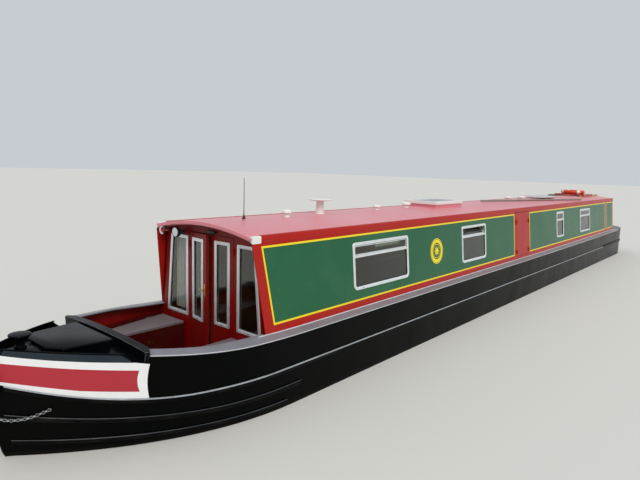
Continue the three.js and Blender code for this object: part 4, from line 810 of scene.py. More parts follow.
def along_strakes(rows, section):
    """Bars along the hull at the strakes: y = breadth at the strake's middle + out, z = its middle + up.
    section(half height) gives the bar's corners (out, up)."""
    patches = []
    for row in rows:
        aft, fore, height = row[:3]
        x = np.concatenate([np.linspace(aft, 0, 30)[:-1], np.linspace(0, fore, 60)])
        z = strake_top(row, x) - height / 2
        patches += both(bar(section(height / 2), lambda out, up: spots(x, breadth(x, z) + out, z + up)))
    return patches


def strake_section(edge):
    """A flat bar with eased outer corners."""
    d = STRAKE_DEPTH
    return [(-0.01, -edge), (d - 0.01, -edge), (d - 0.003, -edge + 0.003), (d, -edge + 0.01),
            (d, edge - 0.01), (d - 0.003, edge - 0.003), (d - 0.01, edge), (-0.01, edge)]


def highlight_section(width):
    """A pale line, a painted highlight, of a width that wraps a strake's upper outer corner, 0.6 mm proud."""
    d = STRAKE_DEPTH
    return lambda edge: [(d + 0.0006, edge - width), (d - 0.0022, edge - 0.0022), (d - width, edge + 0.0006),
                         (d - width, edge - 0.001), (d - 0.004, edge - 0.005), (d - 0.001, edge - width)]


def counter_band():
    """A rubbing bar round the counter under the deck, a rounded bar on the hull's own line."""
    first, half = -13.4, 1.036
    x, share = counter_line(np.linspace(0, math.pi / 2, 30))
    x = np.concatenate([np.linspace(first, COUNTER_START, 8)[:-1], x])
    y = half * np.concatenate([np.ones(7), share])
    path = spots(x, y, above(np.interp(x, [COUNTER_START, first], [0.43, 0.4015])))
    path = np.vstack([path, (path * (1, -1, 1))[-2::-1]])
    return [tube(path, bar_section(0.044, 0.06, 0.012))]


def gunwale(x, slant=False):
    """Side deck plate: flat to the knee, then falling 20 mm to a rounded outer lip. Aft of the cabin it
    reaches in to the stern deck. slant cuts its fore end along the beam's slanted plan, from 0.693 at
    1.157 to 0.788 at 1.211."""
    outer = breadth(x, sheer(x)) + 0.006
    inner = np.minimum(FOOT_HALF - 0.058, outer - 0.006 - GUNWALE_WIDTH - 0.02 * np.maximum(0, x + 0.04))
    inner = np.where(x < CABIN_AFT, STERN_DECK_HALF, inner)
    knee, drop, thick = outer - GUNWALE_WIDTH + 0.004, GUNWALE_DROP, GUNWALE_PLATE
    if slant:
        inner = np.where(x > 1.157, np.maximum(inner, 0.693 + (x - 1.157) * 0.095 / 0.054), inner)
        knee = np.maximum(knee, inner + 0.002)
    section = [(inner, -thick), (inner, 0), (np.maximum(knee - 0.01, inner + 0.001), 0),
               (knee + 0.006, -0.001), (outer - 0.004, -drop + 0.001), (outer, -drop - 0.004),
               (outer, -drop - thick + 0.003), (outer - 0.003, -drop - thick), (knee, -thick)]
    return bar(section, lambda y, up: spots(x, y, sheer(x) + up))


def edge_line(x):
    """Pale line along the side deck's outer lip, a painted highlight: a strip 9 mm wide."""
    outer = breadth(x, sheer(x)) + 0.006
    section = [(outer - 0.012, -0.0178), (outer - 0.002, -0.0205), (outer + 0.0008, -0.024),
               (outer + 0.0008, -0.027), (outer - 0.003, -0.026), (outer - 0.012, -0.0195)]
    return bar(section, lambda y, up: spots(x, y, sheer(x) + up))


def foot_bead():
    """Sealant bead where the cabin side meets the side deck: a fillet of 9 mm."""
    x = np.linspace(CABIN_AFT, 0.1, 60)
    section = [(-0.004, 0.0), (0.009, 0.0002), (0.005, 0.003), (0.0012, 0.009), (-0.004, 0.009)]
    side = FOOT_HALF - TUMBLEHOME * (sheer(x) - FOOT_Z)
    return both(bar(section, lambda out, up: spots(x, side + out, sheer(x) + up)))


def deck_height(x, share=0.0):
    """Foredeck: 40 mm under the sheer in the middle, falling 48 mm * share^1.7 to the hull's sides."""
    return sheer(x) - DECK_SUNK - DECK_FALL * np.abs(share) ** 1.7


# The locker lid's half outline: aft edge, the corner where it narrows, fore edge.
LID_OUTLINE = np.array([(1.31, 0.36), (1.722, 0.309), (1.81, 0.177)])


def lid_outline(draw_in):
    """The locker lid's whole outline, drawn in by a distance."""
    return drawn_in(np.vstack([LID_OUTLINE * (1, -1), LID_OUTLINE[::-1]]), draw_in)


def foredeck():
    """Cambered deck plate between the bulwarks with the locker's opening in it."""
    hole = lid_outline(0.026)[3:][::-1]
    x = np.unique(np.concatenate([np.linspace(COAMING_FORE + HAIR, STEM_HEAD - 0.03, 46), hole[:, 0]]))
    half = np.maximum(breadth(x, sheer(x) - 0.088) - 0.0105, 0.006)
    opening = np.minimum(np.interp(x, *hole.T), half * 0.6)
    inner, outer = np.linspace(-1, 1, 13), np.linspace(0, 1, 9)[1:]
    y = np.concatenate([-(opening[:, None] + (half - opening)[:, None] * outer)[:, ::-1],
                        opening[:, None] * inner, opening[:, None] + (half - opening)[:, None] * outer], 1)
    top = spots(x[:, None], y, deck_height(x[:, None], y / half[:, None]))
    skip = np.zeros((len(x) - 1, y.shape[1] - 1), bool)
    middle = (x[1:] + x[:-1]) / 2
    skip[(middle > hole[0, 0]) & (middle < hole[-1, 0]), len(outer):len(outer) + len(inner) - 1] = True
    return slab(top, top - (0, 0, GUNWALE_PLATE), skip=skip)


def bulwark_cap():
    """Half-round bar welded along the bulwark's lip and round the stem head."""
    x = np.concatenate([np.linspace(1.39, 2.1, 36), np.linspace(2.11, STEM_HEAD - 0.004, 8)])
    path = spots(x, breadth(x, sheer(x) - 0.02) - 0.006, sheer(x) - 0.017)
    path = np.vstack([path, (path * (1, -1, 1))[::-1]])
    return [tube(path, disc(0.0075, 10))]


def hull_band(x, low, high, out, rows=8):
    """A painted band on the hull between two heights given at stations."""
    grid = hull_rows(x, np.linspace(0, 1, rows), low, high)
    return both(slab(grown(grid, out), grown(grid, 0.002)))


# Bow flash, as (station, height over the water): upper and lower edge of the white, then of the red.
FLASH_TOP = np.array([(1.204, 0.769), (1.303, 0.792), (1.411, 0.805), (1.601, 0.824), (1.839, 0.852),
                      (2.022, 0.88), (2.2, 0.911)])
RED_TOP = np.array([(1.2, 0.709), (1.263, 0.717), (1.715, 0.773), (2.117, 0.831), (2.2, 0.842)])
RED_BOTTOM = np.array([(1.2, 0.512), (1.248, 0.518), (1.657, 0.574), (2.027, 0.656), (2.2, 0.694)])
FLASH_AFT, RED_AFT, FLASH_HOLLOW, GUARD_AFT = 1.19, 1.262, 0.016, 1.2405


def flash(low, high, aft, out):
    """Painted bow flash between two edges; its aft end is a hollow arc."""
    v = np.linspace(0, 1, 14)[None]
    u = np.linspace(0, 1, 60)[:, None]
    start = aft + FLASH_HOLLOW * (1 - (2 * v - 1) ** 2) + 0.014 * v
    x = start + (STEM_HEAD - start) * u
    z = low(x) + (high(x) - low(x)) * v
    x = np.minimum(x, level_values(x, z)[..., 2])
    grid = spots(x, breadth(x, z), z)
    return both(slab(grown(grid, out), grown(grid, 0.002)))


def lining(x, y, low, high):
    """A thin board inside the hull's side between two heights."""
    x, v = np.asarray(x, float)[:, None], np.linspace(0, 1, 6)
    z = low(x) + (high(x) - low(x)) * v
    grid = spots(x, y(x, z), z)
    return both(slab(grid, grid - (0, 0.003, 0)))


def make_hull():
    """Plating, strakes, side decks, painted bow flash and the linings seen inside the hull."""
    piece("hull_plating", hull_skin(), HULL_BLACK, "hull_black")
    piece("hull_plating_below", lower_skin(), BOTTOM, "bottom_black")
    piece("rubbing_strakes", along_strakes(STRAKES, strake_section), STRAKE_BLACK, "hull_black")
    # Pale lines on the strakes' upper corners: painted highlights.
    piece("strake_top_highlight", along_strakes(STRAKES[:1], highlight_section(0.0104)), EDGE_HIGHLIGHT, "hull_black")
    piece("strake_top_highlights_low", along_strakes(STRAKES[1:], highlight_section(0.0052)), STRAKE_TOP_HIGHLIGHT,
          "hull_black")
    piece("counter_band", counter_band(), STRAKE_BLACK, "hull_black")
    cabin_run = np.concatenate([np.linspace(COUNTER_START, CABIN_AFT - 0.001, 3),
                                np.linspace(CABIN_AFT, -1, 30), np.linspace(-0.95, 0, 12)])
    well_run = np.concatenate([np.linspace(HAIR, 1.157, 30), np.linspace(1.16, 1.211, 8)])
    for name, patch in zip(("port", "starboard"), both(gunwale(cabin_run))):
        piece("side_deck_" + name, [patch], GUNWALE_GREY, "deck_grey", replaces=["gunwale_" + name])
    for name, patch in zip(("port", "starboard"), both(gunwale(well_run, slant=True))):
        piece("well_side_deck_" + name, [patch], GUNWALE_GREY, "deck_grey", replaces=["well_gunwale_" + name])
    # The pale line on the side decks' lip and the pale bead at the cabin's foot are painted highlights.
    piece("side_deck_edge_line", both(edge_line(np.concatenate([cabin_run, well_run[1:]]))), PALE_EDGE_HIGHLIGHT,
          "deck_grey")
    piece("cabin_foot_bead", foot_bead(), PALE_EDGE_HIGHLIGHT, "deck_grey")
    strake = lambda x: strake_top(STRAKES[0], x) + 0.001
    edge = lambda table: lambda x: above(np.interp(x, *table.T))
    piece("bow_flash_white", flash(strake, edge(FLASH_TOP), FLASH_AFT, 0.005), FLASH_WHITE, "white_paint")
    piece("bow_flash_red", flash(edge(RED_BOTTOM), edge(RED_TOP), RED_AFT, 0.006), FLASH_RED, "cabin_red")
    guard = np.unique(np.concatenate([bow_stations(GUARD_AFT, 40), [GUARD_AFT]]))
    guard = guard[guard >= GUARD_AFT]
    # The guard band's slate grey is a painted reflection of the sky on black plate.
    piece("bow_guard_band", hull_band(guard, edge(FLASH_TOP), lambda x: plating_top(x) - 0.0005, 0.0045),
          GUARD_SKY_SHEEN, "hull_black")
    piece("bulwark_cap", bulwark_cap(), DECK_BLACK, "hull_black")
    under_deck = lambda x: sheer(x) - 0.036
    piece("well_lining", lining(np.linspace(0.002, 1.205, 30), lambda x, z: breadth(x, z) - 0.0575,
                                lambda x: 0 * x + 0.605, under_deck), WELL_RED, "dark_red")
    y0, y1, z0, z1 = 0.594, 0.698, 0.6, above(0.778)
    end = np.array([(-y0, z0), (y0, z0), (y1, z1), (-y1, z1)])
    piece("well_end_lining", [plate([end], on_front(1.2085), 0, 0.003)], WELL_RED, "dark_red")
    piece("cabin_lining", lining(np.linspace(-12.85, -0.055, 30), lambda x, z: breadth(x, z) - 0.052,
                                 lambda x: 0 * x + 0.2, under_deck), OAK, "boards")


make_hull()

# Paint and plates of the cabin sides

# A window frame's flange and its whole sight width
FLANGE, SIGHT = 0.022, 0.04
SIDE_PANELS = [
    [(-6.7, above(0.868)), (-0.126, above(0.868)), (-0.01, above(1.661)), (-6.7, above(1.661))],
    [(-13.98, above(0.885)), (-7.56, above(0.868)), (-7.56, above(1.661)), (-13.98, above(1.661))],
    [(-14.93, above(0.895)), (-14.14, above(0.887)), (-14.14, above(1.661)), (-14.93, above(1.661))],
]
STARBOARD_PANELS = [
    [(-13.98, above(0.885)), (-0.126, above(0.868)), (-0.01, above(1.661)), (-13.98, above(1.661))],
    SIDE_PANELS[2],
]
COACH_LINE = 0.021
EMBLEM = dict(x=-3.565, z=above(1.268), radius=0.19)


def window_outline(window, draw_in):
    """A cabin window's outline: 70 mm lower and 40 mm upper corners, drawn in by a distance."""
    _, aft, fore, sill, head = window
    return rounded(aft + draw_in, fore - draw_in, above(sill) + draw_in, above(head) - draw_in,
                   max(0.07 - draw_in, 0.012), max(0.04 - draw_in * 0.8, 0.008))


def circle(x, z, radius):
    """A circle of 48 points round a middle."""
    return np.array([x, z]) + disc(radius, 48)


def star(x, z, points, outer, inner):
    """A star with so many points between two radii."""
    t = np.arange(2 * points) * math.pi / points + math.pi / 2
    r = np.where(np.arange(2 * points) % 2, inner, outer)
    return np.stack([x + r * np.cos(t), z + r * np.sin(t)], -1)


def emblem(place):
    """A plain roundel: yellow ring, green ring, yellow line and an eight-pointed star."""
    x, z, r = EMBLEM["x"], EMBLEM["z"], EMBLEM["radius"]
    ring_of = lambda wide, narrow, low, high: plate([circle(x, z, r * wide), circle(x, z, r * narrow)],
                                                    place, low, high)
    rings = [ring_of(1, 0.66, HAIR, PAINT[2]), ring_of(0.56, 0.52, HAIR, PAINT[2]),
             plate([star(x, z, 8, r * 0.42, r * 0.2)], place, HAIR, PAINT[2])]
    return rings, ring_of(0.93, 0.9, PAINT[2], PAINT[3])


SIDES = (("port", 1), ("starboard", -1))
# Painted work stands this far off the cabin side: panels, lines, roundel, the line on the roundel.
PAINT = HAIR * 0.75, HAIR * 2, 0.0016, 0.0022


def make_sides():
    """Painted work of both cabin sides: green panels, their yellow coach lines and the roundel."""
    for name, side in SIDES:
        place = on_side(side)
        panels = SIDE_PANELS if side > 0 else STARBOARD_PANELS
        green, lines = [], []
        for corners in panels:
            aft, fore = corners[0][0], corners[1][0]
            holes = [window_outline(w, 0.012) for w in WINDOWS if aft < w[1] and w[2] < fore]
            green.append(plate([np.array(corners), *holes], place, 0.0001, PAINT[0]))
            lines.append(plate([drawn_in(corners, -COACH_LINE / 2), drawn_in(corners, COACH_LINE / 2)],
                               place, 0.0001, PAINT[1]))
        piece("green_panels_" + name, green, COACH_GREEN, "cabin_green")
        piece("coach_lines_" + name, lines, LINE_YELLOW, "cabin_green")
        rings, line = emblem(place)
        piece("roundel_" + name, rings, LINE_YELLOW, "brass")
        piece("roundel_line_" + name, [line], COACH_GREEN, "cabin_green")


def window_frame(outline, place, depth):
    """Alloy frame round a pane: a flange with eased edges and a sleeve into the wall."""
    section = [(0.0, HAIR), (0.0, 0.005), (0.0025, 0.008), (0.036, 0.008), (SIGHT, 0.005), (SIGHT, -depth),
               (FLANGE + 0.0015, -depth), (FLANGE + 0.0015, HAIR)]
    return ring(outline, section, place)


def seal(outline, place):
    """Glazing rubber: a rounded strip between the frame and the pane."""
    return ring(outline, [(SIGHT - 0.001, -0.013), (SIGHT - 0.001, 0.0005), (SIGHT + 0.003, 0.001),
                          (SIGHT + 0.0055, -0.003), (SIGHT + 0.0055, -0.0135)], place)


def screws(outline, place, spacing):
    """Domed screw heads of 8 mm round a flange: six-sided caps at even spacing along the outline."""
    loop = outline(0.012)
    loop = np.vstack([loop, loop[:1]])
    run = np.concatenate([[0], np.cumsum(np.linalg.norm(np.diff(loop, axis=0), axis=1))])
    at = np.arange(spacing / 2, run[-1], spacing)
    a, b = (np.interp(at, run, loop[:, i]) for i in (0, 1))
    head = [(disc(r, 6), h) for r, h in ((0.004, 0.0078), (0.0032, 0.0092), (0.0, 0.0098))]
    return [surface(np.stack([place(x + d[:, 0], z + d[:, 1], h) for d, h in head]), wrap_v=True)
            for x, z in zip(a, b)]


def slot_cover(a, b, place):
    """Drain slot in a frame's foot: a dark oval 22 by 7 mm."""
    oval = rounded(a - 0.011, a + 0.011, b - 0.0035, b + 0.0035, 0.0034, 0.0034, 4)
    return plate([oval], place, 0.0075, 0.0086)


def side_window(name, window, place, tilt):
    """Frame, glazing bar, opening light and panes of a cabin window; tilt is how far the light leans in for
    its height. Gives the rubber and the drain slots."""
    _, aft, fore, sill, head = window
    middle, low, high = above(HOPPER_Z), aft + SIGHT, fore - SIGHT
    outline = lambda s: window_outline(window, s)
    hopper = lambda s: rounded(low + 0.004 + s, high - 0.004 - s, middle + 0.015 + s,
                               above(head) - SIGHT - 0.004 - s, 0.008, 0.012)

    def hopper_place(a, b, h):
        lean = (b - middle) * tilt
        return place(a, b - lean * 0.15, h - lean - 0.004)

    glazing_bar = [(low - 0.002, middle - 0.013), (high + 0.002, middle - 0.013),
                   (high + 0.002, middle + 0.013), (low - 0.002, middle + 0.013)]
    hopper_section = [(0, -0.012), (0, 0.0), (0.002, 0.002), (0.011, 0.002), (0.012, -0.012)]
    piece(name + "_frame", [window_frame(outline, place, 0.034),
                            plate([np.array(glazing_bar)], place, -0.02, 0.0075),
                            ring(hopper, hopper_section, hopper_place), *screws(outline, place, 0.16)],
          ALLOY, "window_alloy", replaces=[name])
    low_pane = rounded(aft + 0.03, fore - 0.03, above(sill) + 0.03, middle, 0.045, 0.01)
    piece(name + "_glass", [plate([low_pane], place, -0.014, -0.009),
                            plate([hopper(0.006)], hopper_place, -0.009, -0.005)], TINTED, "solar_glass")
    slots = [slot_cover(a, above(sill) + 0.017, place) for a in (aft + 0.19, fore - 0.19)]
    return [seal(outline, place), *slots]


def make_windows():
    """All windows of both sides; one of them has its upper light open, as in the photo."""
    for name, side in SIDES:
        rubber = []
        for window in WINDOWS:
            tilt = 0.62 if (name, window[0]) == OPEN_LIGHT else 0.0
            rubber += side_window(f"window_{name}_{window[0]}", window, on_side(side), tilt)
        piece("window_rubbers_" + name, rubber, BLACK, "black_plastic")


make_sides()
make_windows()

# Front bulkhead, its windows and doors

# Distance of the front doors' hinge axes before the bulkhead
AXIS_OUT = 0.012
# Front windows: name, corners as (offset to port, height over the water); the outer edge leans inboard.
FRONT_WINDOWS = [
    ("starboard", [(-0.792, 0.715), (-0.376, 0.715), (-0.376, 1.655), (-0.7019, 1.655)]),
    ("port", [(0.475, 0.713), (0.852, 0.713), (0.7621, 1.65), (0.475, 1.65)]),
]
# Front leaves: name, side, hinge offset, open angle, window's near and far edge from the hinge.
FRONT_LEAVES = [("port", 1, 0.42, 0.0, 0.063, 0.32), ("starboard", -1, -0.345, 9.5, 0.066, 0.316)]
LEAF_WINDOW = (above(0.715), above(1.65))
# The curtain behind the starboard front window: station, offsets, heights, number and depth of its pleats;
# then its rod.
DRAPE = dict(x=-0.075, y0=-0.7, y1=-0.4, low=above(0.76), high=above(1.66), pleats=7, depth=0.014)
ROD = dict(y0=-0.72, y1=-0.385, z=above(1.665), radius=0.006)


def softened(corners, radius, steps=3):
    """A convex outline whose corners are cut to short arcs: quadratic curves from corner to corner."""
    p = np.asarray(corners, float)
    before, after = np.roll(p, 1, 0) - p, np.roll(p, -1, 0) - p
    before /= np.linalg.norm(before, axis=1)[:, None]
    after /= np.linalg.norm(after, axis=1)[:, None]
    t = np.linspace(0, 1, steps + 1)[None, :, None]
    p, before, after = p[:, None], before[:, None] * radius, after[:, None] * radius
    return (p + before * (1 - t) ** 2 + after * t**2).reshape(-1, 2)


def flat_window(name, corners, place, node_name, body):
    """A plain alloy window with small corners, a drain slot and its pane."""
    corners = np.array(corners, float)
    outline = lambda s: softened(drawn_in(corners, s), max(0.014 - s, 0.004))
    a, b = corners[:2, 0].mean(), corners[0, 1] + 0.017
    piece(name + "_frame", [window_frame(outline, place, 0.03)] + screws(outline, place, 0.15), ALLOY,
          "window_alloy", body, replaces=[node_name])
    piece(name + "_glass", [plate([outline(0.03)], place, -0.014, -0.009)], GLASS, "solar_glass", body)
    piece(name + "_rubber", [seal(outline, place), slot_cover(a, b, place)], BLACK, "black_plastic", body)


def curtain(name, x, y0, y1, low, high, pleats, depth):
    """A gathered curtain behind a front window. x swings by depth * (sin(turns) + 0.3 * sin(1.22 * turns)),
    growing towards the foot; the cloth's width is the pleated line's length."""
    u, v = np.linspace(0, 1, pleats * 12 + 1)[:, None], np.linspace(0, 1, 30)[None]
    turns = 2 * math.pi * pleats * u
    swing = np.sin(turns + 0.7 * np.sin(5 * u)) + 0.3 * np.sin(1.22 * turns + 1)
    y = y0 + (y1 - y0) * u + 0.006 * np.sin(9 * u + 3 * v) * v
    grid = spots(x + depth * swing * (0.55 + 0.45 * v), y, high - (high - low) * v)
    run = np.linalg.norm(np.diff(grid, axis=0), axis=-1)
    width = float(run.mean(1).sum())
    obj = piece(name, [surface(grid)], CURTAIN, "white_paint")
    corner = np.zeros(len(obj.data.loops), int)
    obj.data.loops.foreach_get("vertex_index", corner)
    where = np.zeros(len(obj.data.vertices) * 3)
    obj.data.vertices.foreach_get("co", where)
    _, across, up = where.reshape(-1, 3)[corner].T
    flat = np.stack([(across - y0) / (y1 - y0) * width, up], -1)
    obj.data.uv_layers.new(name="cloth").data.foreach_set("uv", flat.ravel())


def make_front():
    """The bulkhead's windows, the doors' leaves and windows, the curtain on its rod and the door handle."""
    for name, corners in FRONT_WINDOWS:
        flat_window("front_light_" + name, [(a, above(b)) for a, b in corners], on_front(),
                    "front_window_" + name, "hull")
    low, high = LEAF_WINDOW
    for name, side, hinge_y, ajar, near, far in FRONT_LEAVES:
        a0, a1 = sorted((-side * near, -side * far))
        flat_window("front_door_light_" + name, [(a0, low), (a1, low), (a1, high), (a0, high)],
                    on_leaf(side, hinge_y, ajar), "front_door_glass_" + name, "front_door_" + name)
        eased("front_door_" + name, WELL_RED, "dark_red", "front_door_" + name, 0.003)
    curtain("front_curtain", **DRAPE)
    rod = spots(DRAPE["x"], np.linspace(ROD["y0"], ROD["y1"], 4), ROD["z"])
    ends = [block((-0.085, y, above(1.655)), (-0.05, y + 0.01, above(1.675))) for y in (-0.722, -0.393)]
    piece("front_curtain_rod", [tube(rod, disc(ROD["radius"], 12)), *ends], BRASS, "brass")
    leaf = on_leaf(*FRONT_LEAVES[1][1:4])
    lock = plate([rounded(0.335, 0.36, above(1.02), above(1.16), 0.006, 0.006)], leaf, HAIR, 0.003)
    spindle = leaf(0.3475, above(1.09), np.linspace(0.0, 0.03, 8))
    lever = leaf(np.linspace(0.352, 0.29, 8), above(1.09), 0.03)
    piece("front_door_handle", [lock, tube(spindle, disc(0.006, 12)), tube(lever, disc(0.0065, 12))], BRASS,
          "brass", "front_door_starboard")


make_front()

# Roof

SKYLIGHT = dict(aft=-5.5, fore=-4.52, half=0.3, curb=0.062, wall=0.03)
# The slide hatch's opening and its runners: their middle, half width, length and height over the roof.
HATCH = dict(aft=-14.99, fore=-14.25, half=0.34, runner=0.372, wide=0.012, run=2.0, rise=0.03)
RING = dict(x=-13.76, y=-0.03, radius=0.275, tube=0.055)
# Mushroom vents: station, offset, cap radius, height.
VENTS = [(-1.12, 0.09, 0.062, 0.095), (-3.15, 0.03, 0.062, 0.08), (-4.02, 0.02, 0.08, 0.095),
         (-8.5, 0.0, 0.08, 0.09), (-9.25, 0.04, 0.1, 0.08), (-11.65, 0.0, 0.105, 0.075)]


def roof_sheet():
    """The cambered roof with its skylight and hatch openings; thin plate over the front deck."""
    inner = SKYLIGHT["half"] - SKYLIGHT["wall"]
    x = np.unique(np.concatenate([np.linspace(CABIN_AFT, 0, 40), [-0.0005, 0, OVERHANG],
                                  [SKYLIGHT["aft"] + 0.03, SKYLIGHT["fore"] - 0.03, HATCH["fore"]]]))
    y = np.unique(np.round(np.concatenate([np.linspace(-ROOF_HALF, ROOF_HALF, 41),
                                           [-inner, inner, -HATCH["half"], HATCH["half"]]]), 5))
    xx, yy = np.meshgrid(x, y, indexing="ij")
    top = spots(xx, yy, camber(yy))
    bottom = top - spots(0, 0, np.where(xx < -0.0001, ROOF_THICK, OVERHANG_THICK))
    mx, my = (xx[1:, 1:] + xx[:-1, :-1]) / 2, (yy[1:, 1:] + yy[:-1, :-1]) / 2
    skip = (((mx > SKYLIGHT["aft"] + 0.03) & (mx < SKYLIGHT["fore"] - 0.03) & (np.abs(my) < inner))
            | ((mx < HATCH["fore"]) & (np.abs(my) < HATCH["half"])))
    return slab(top, bottom, skip=skip)


def handrail(x0, x1, top):
    """Upstand along the roof's edge up to a height: a rounded bar, flush with the cabin side."""
    arc = np.radians(np.linspace(0, 180, 9))
    section = [(ROOF_HALF + 0.0085, ROOF_EDGE_Z - 0.052), (ROOF_HALF + 0.0085, top - 0.01)]
    section += [(ROOF_HALF - 0.015 + 0.0235 * math.cos(a), top - 0.01 + 0.01 * math.sin(a))
                for a in arc[1:-1]]
    section += [(ROOF_HALF - 0.0385, top - 0.01), (ROOF_HALF - 0.0385, ROOF_EDGE_Z - 0.03)]
    x = np.linspace(x0, x1, max(2, int((x1 - x0) / 0.4)))
    return both(bar(section, lambda y, z: spots(x, y, z)))


def front_lip():
    """Bullnose along the roof's front edge: a bar 42 mm deep and 23 mm thick that follows the camber."""
    y = np.linspace(-ROOF_HALF + 0.01, ROOF_HALF - 0.01, 48)
    return [tube(spots(OVERHANG - 0.0115, y, camber(y) - 0.0195), bar_section(0.023, 0.042, 0.0105))]


def curb(x0, x1, half, wall, top):
    """A square upstand round a roof opening."""
    outer = rounded(x0, x1, -half, half, 0.01, 0.01, 3)
    inner = rounded(x0 + wall, x1 - wall, -half + wall, half - wall, 0.006, 0.006, 3)
    return plate([outer, inner], spots, ROOF_CROWN_Z - 0.06, top)


def mushroom(x, y, r, h):
    """A vent: a neck under a domed cap whose rim is rolled, cap height = a quarter ellipse."""
    arc = np.radians(np.linspace(0, 90, 8))
    dome = [(r * math.cos(a), h * 0.62 + h * 0.38 * math.sin(a)) for a in arc]
    profile = [(0.0, -0.02), (r * 0.66, -0.02), (r * 0.66, 0.004), (r * 0.6, 0.01), (r * 0.6, h * 0.44),
               (r * 0.9, h * 0.5), (r * 0.985, h * 0.53), *dome[:-1], (0.0, h)]
    return lathe(profile, (x, y, camber(y)), 40)


def make_roof():
    """Roof plate, handrails, skylight curb, hatch runners, vents and the two lids that keep their nodes."""
    # The roof, its front lip and the skylight curb are pink: a painted reflection of the sky on red paint.
    piece("roof", [roof_sheet()], ROOF_RED_SKY_SHEEN, "cabin_red", replaces=["cabin_roof"])
    piece("handrails", handrail(CABIN_AFT, 0.0, RAIL_TOP_Z), COACH_RED, "cabin_red")
    # The rails' front ends are white: a painted highlight where their tops face the sky.
    piece("handrail_ends", handrail(0.0005, OVERHANG - 0.002, RAIL_TOP_Z - 0.006), WHITE, "white_paint",
          ease=0.003)
    piece("roof_front_lip", front_lip(), ROOF_RED_SKY_SHEEN, "cabin_red")
    piece("skylight_curb", [curb(SKYLIGHT["aft"], SKYLIGHT["fore"], SKYLIGHT["half"], SKYLIGHT["wall"],
                                 ROOF_CROWN_Z + SKYLIGHT["curb"])], ROOF_RED_SKY_SHEEN, "cabin_red", ease=0.002)
    wide, rise = HATCH["wide"], HATCH["rise"]
    runners = [block((HATCH["aft"], s * HATCH["runner"] - wide, ROOF_CROWN_Z - rise),
                     (HATCH["aft"] + HATCH["run"], s * HATCH["runner"] + wide, ROOF_CROWN_Z + rise))
               for s in (1, -1)]
    piece("hatch_runners", runners, BRASS, "brass", ease=0.003)
    for index, vent in enumerate(VENTS, 1):
        finish, slot = (BLACK, "black_plastic") if index == 6 else (WHITE, "white_paint")
        piece(f"roof_vent_{index}", [mushroom(*vent)], finish, slot)
    eased("slide_hatch", COACH_RED, "dark_red", "slide_hatch", 0.006, 3)
    eased("skylight_lid", WHITE, "white_paint", "skylight_lid", 0.006, 3)


make_roof()

# Deck gear and fittings

STUD_X, STUD_HEIGHT = 1.938, 0.122
# Fender chains of a side: eye's station and height, the first link's distance out, the eye's size, the points
# (station, offset, height) that the chain runs through, and how many points its curve has.
CHAINS = [
    ((1.85, 0.423), 0.022, 0.03, [(1.956, 0.228, 0.372), (2.03, 0.175, 0.356), (2.12, 0.11, 0.362),
                                  (2.2, 0.055, 0.415), (2.245, 0.018, 0.463)], 60),
    ((2.13, 0.925), 0.014, 0.024, [(2.19, 0.04, 0.862), (2.245, 0.018, 0.822)], 20),
]
LID_AXIS = (1.294, 0.0, deck_height(1.81) + 0.009 + 0.006 - 0.018)
LID_HINGES = (-0.22, 0.22)


def lug(at, size=0.03):
    """A pad eye for a chain: a half ring of 9 mm rod that stands out to the side."""
    t = np.linspace(0, math.pi, 10)
    out = np.sign(at[1]) * size * 0.75
    return tube(spots(at[0] + size * 0.5 * np.cos(t), at[1] + out * np.sin(t), at[2]), disc(0.0045, 8))


def chain(points, link=0.034, wire=0.0036):
    """Short-link chain along a curve: oval links, each turned a right angle from its neighbours."""
    p = np.asarray(points, float)
    run = np.concatenate([[0], np.cumsum(np.linalg.norm(np.diff(p, axis=0), axis=1))])
    pitch = link - 2.6 * wire
    at = np.arange(0, run[-1], pitch)
    middle = np.stack([np.interp(at, run, p[:, i]) for i in range(3)], -1)
    ahead = np.gradient(middle, axis=0)
    ahead /= np.linalg.norm(ahead, axis=1)[:, None]
    t = np.arange(16) * 2 * math.pi / 16
    along, across = (link / 2 - wire) * np.cos(t), 0.32 * link * np.sin(t)
    patches = []
    for i, (m, a) in enumerate(zip(middle, ahead)):
        side = np.cross(a, (0, 0, 1))
        side /= np.linalg.norm(side)
        flat = side if i % 2 else np.cross(side, a)
        path = m + along[:, None] * a + across[:, None] * flat
        patches.append(tube(path, disc(wire, 6), up=np.cross(a, flat), closed=True))
    return patches


def sagging(points, count):
    """A smooth curve through points: Catmull-Rom, in equal steps of its parameter."""
    p = np.asarray(points, float)
    p = np.vstack([2 * p[0] - p[1], p, 2 * p[-1] - p[-2]])
    u = np.linspace(0, len(p) - 3.0001, count)
    k, f = u.astype(int), (u % 1)[:, None]
    a, b, c, d = (p[k + i] for i in range(4))
    return 0.5 * (2 * b + (c - a) * f + (2 * a - 5 * b + 4 * c - d) * f**2 + (3 * b - a - 3 * c + d) * f**3)


def lid_rim():
    """Upstand round the locker's opening: its foot lies 20 mm under the deck's camber, its top is level."""
    def place(a, b, h):
        foot = deck_height(a, b / np.maximum(breadth(a, sheer(a)), 0.2)) - 0.02
        return spots(a, b, LID_AXIS[2] + 0.012 if h else foot)
    return plate([lid_outline(0.018), lid_outline(0.03)], place, 0, 1)


def lid_hinge(y):
    """Knuckle and arm of the locker lid's hinge on the deck."""
    x, _, z = LID_AXIS
    knuckle = spots(x, y - np.linspace(0.042, 0.0002, 3), z)
    arm = spots(x + np.linspace(0, 0.04, 3), y - 0.021, z - np.linspace(0, 0.014, 3))
    return [tube(knuckle, disc(0.009, 16)), tube(arm, bar_section(0.012, 0.008, 0.002))]


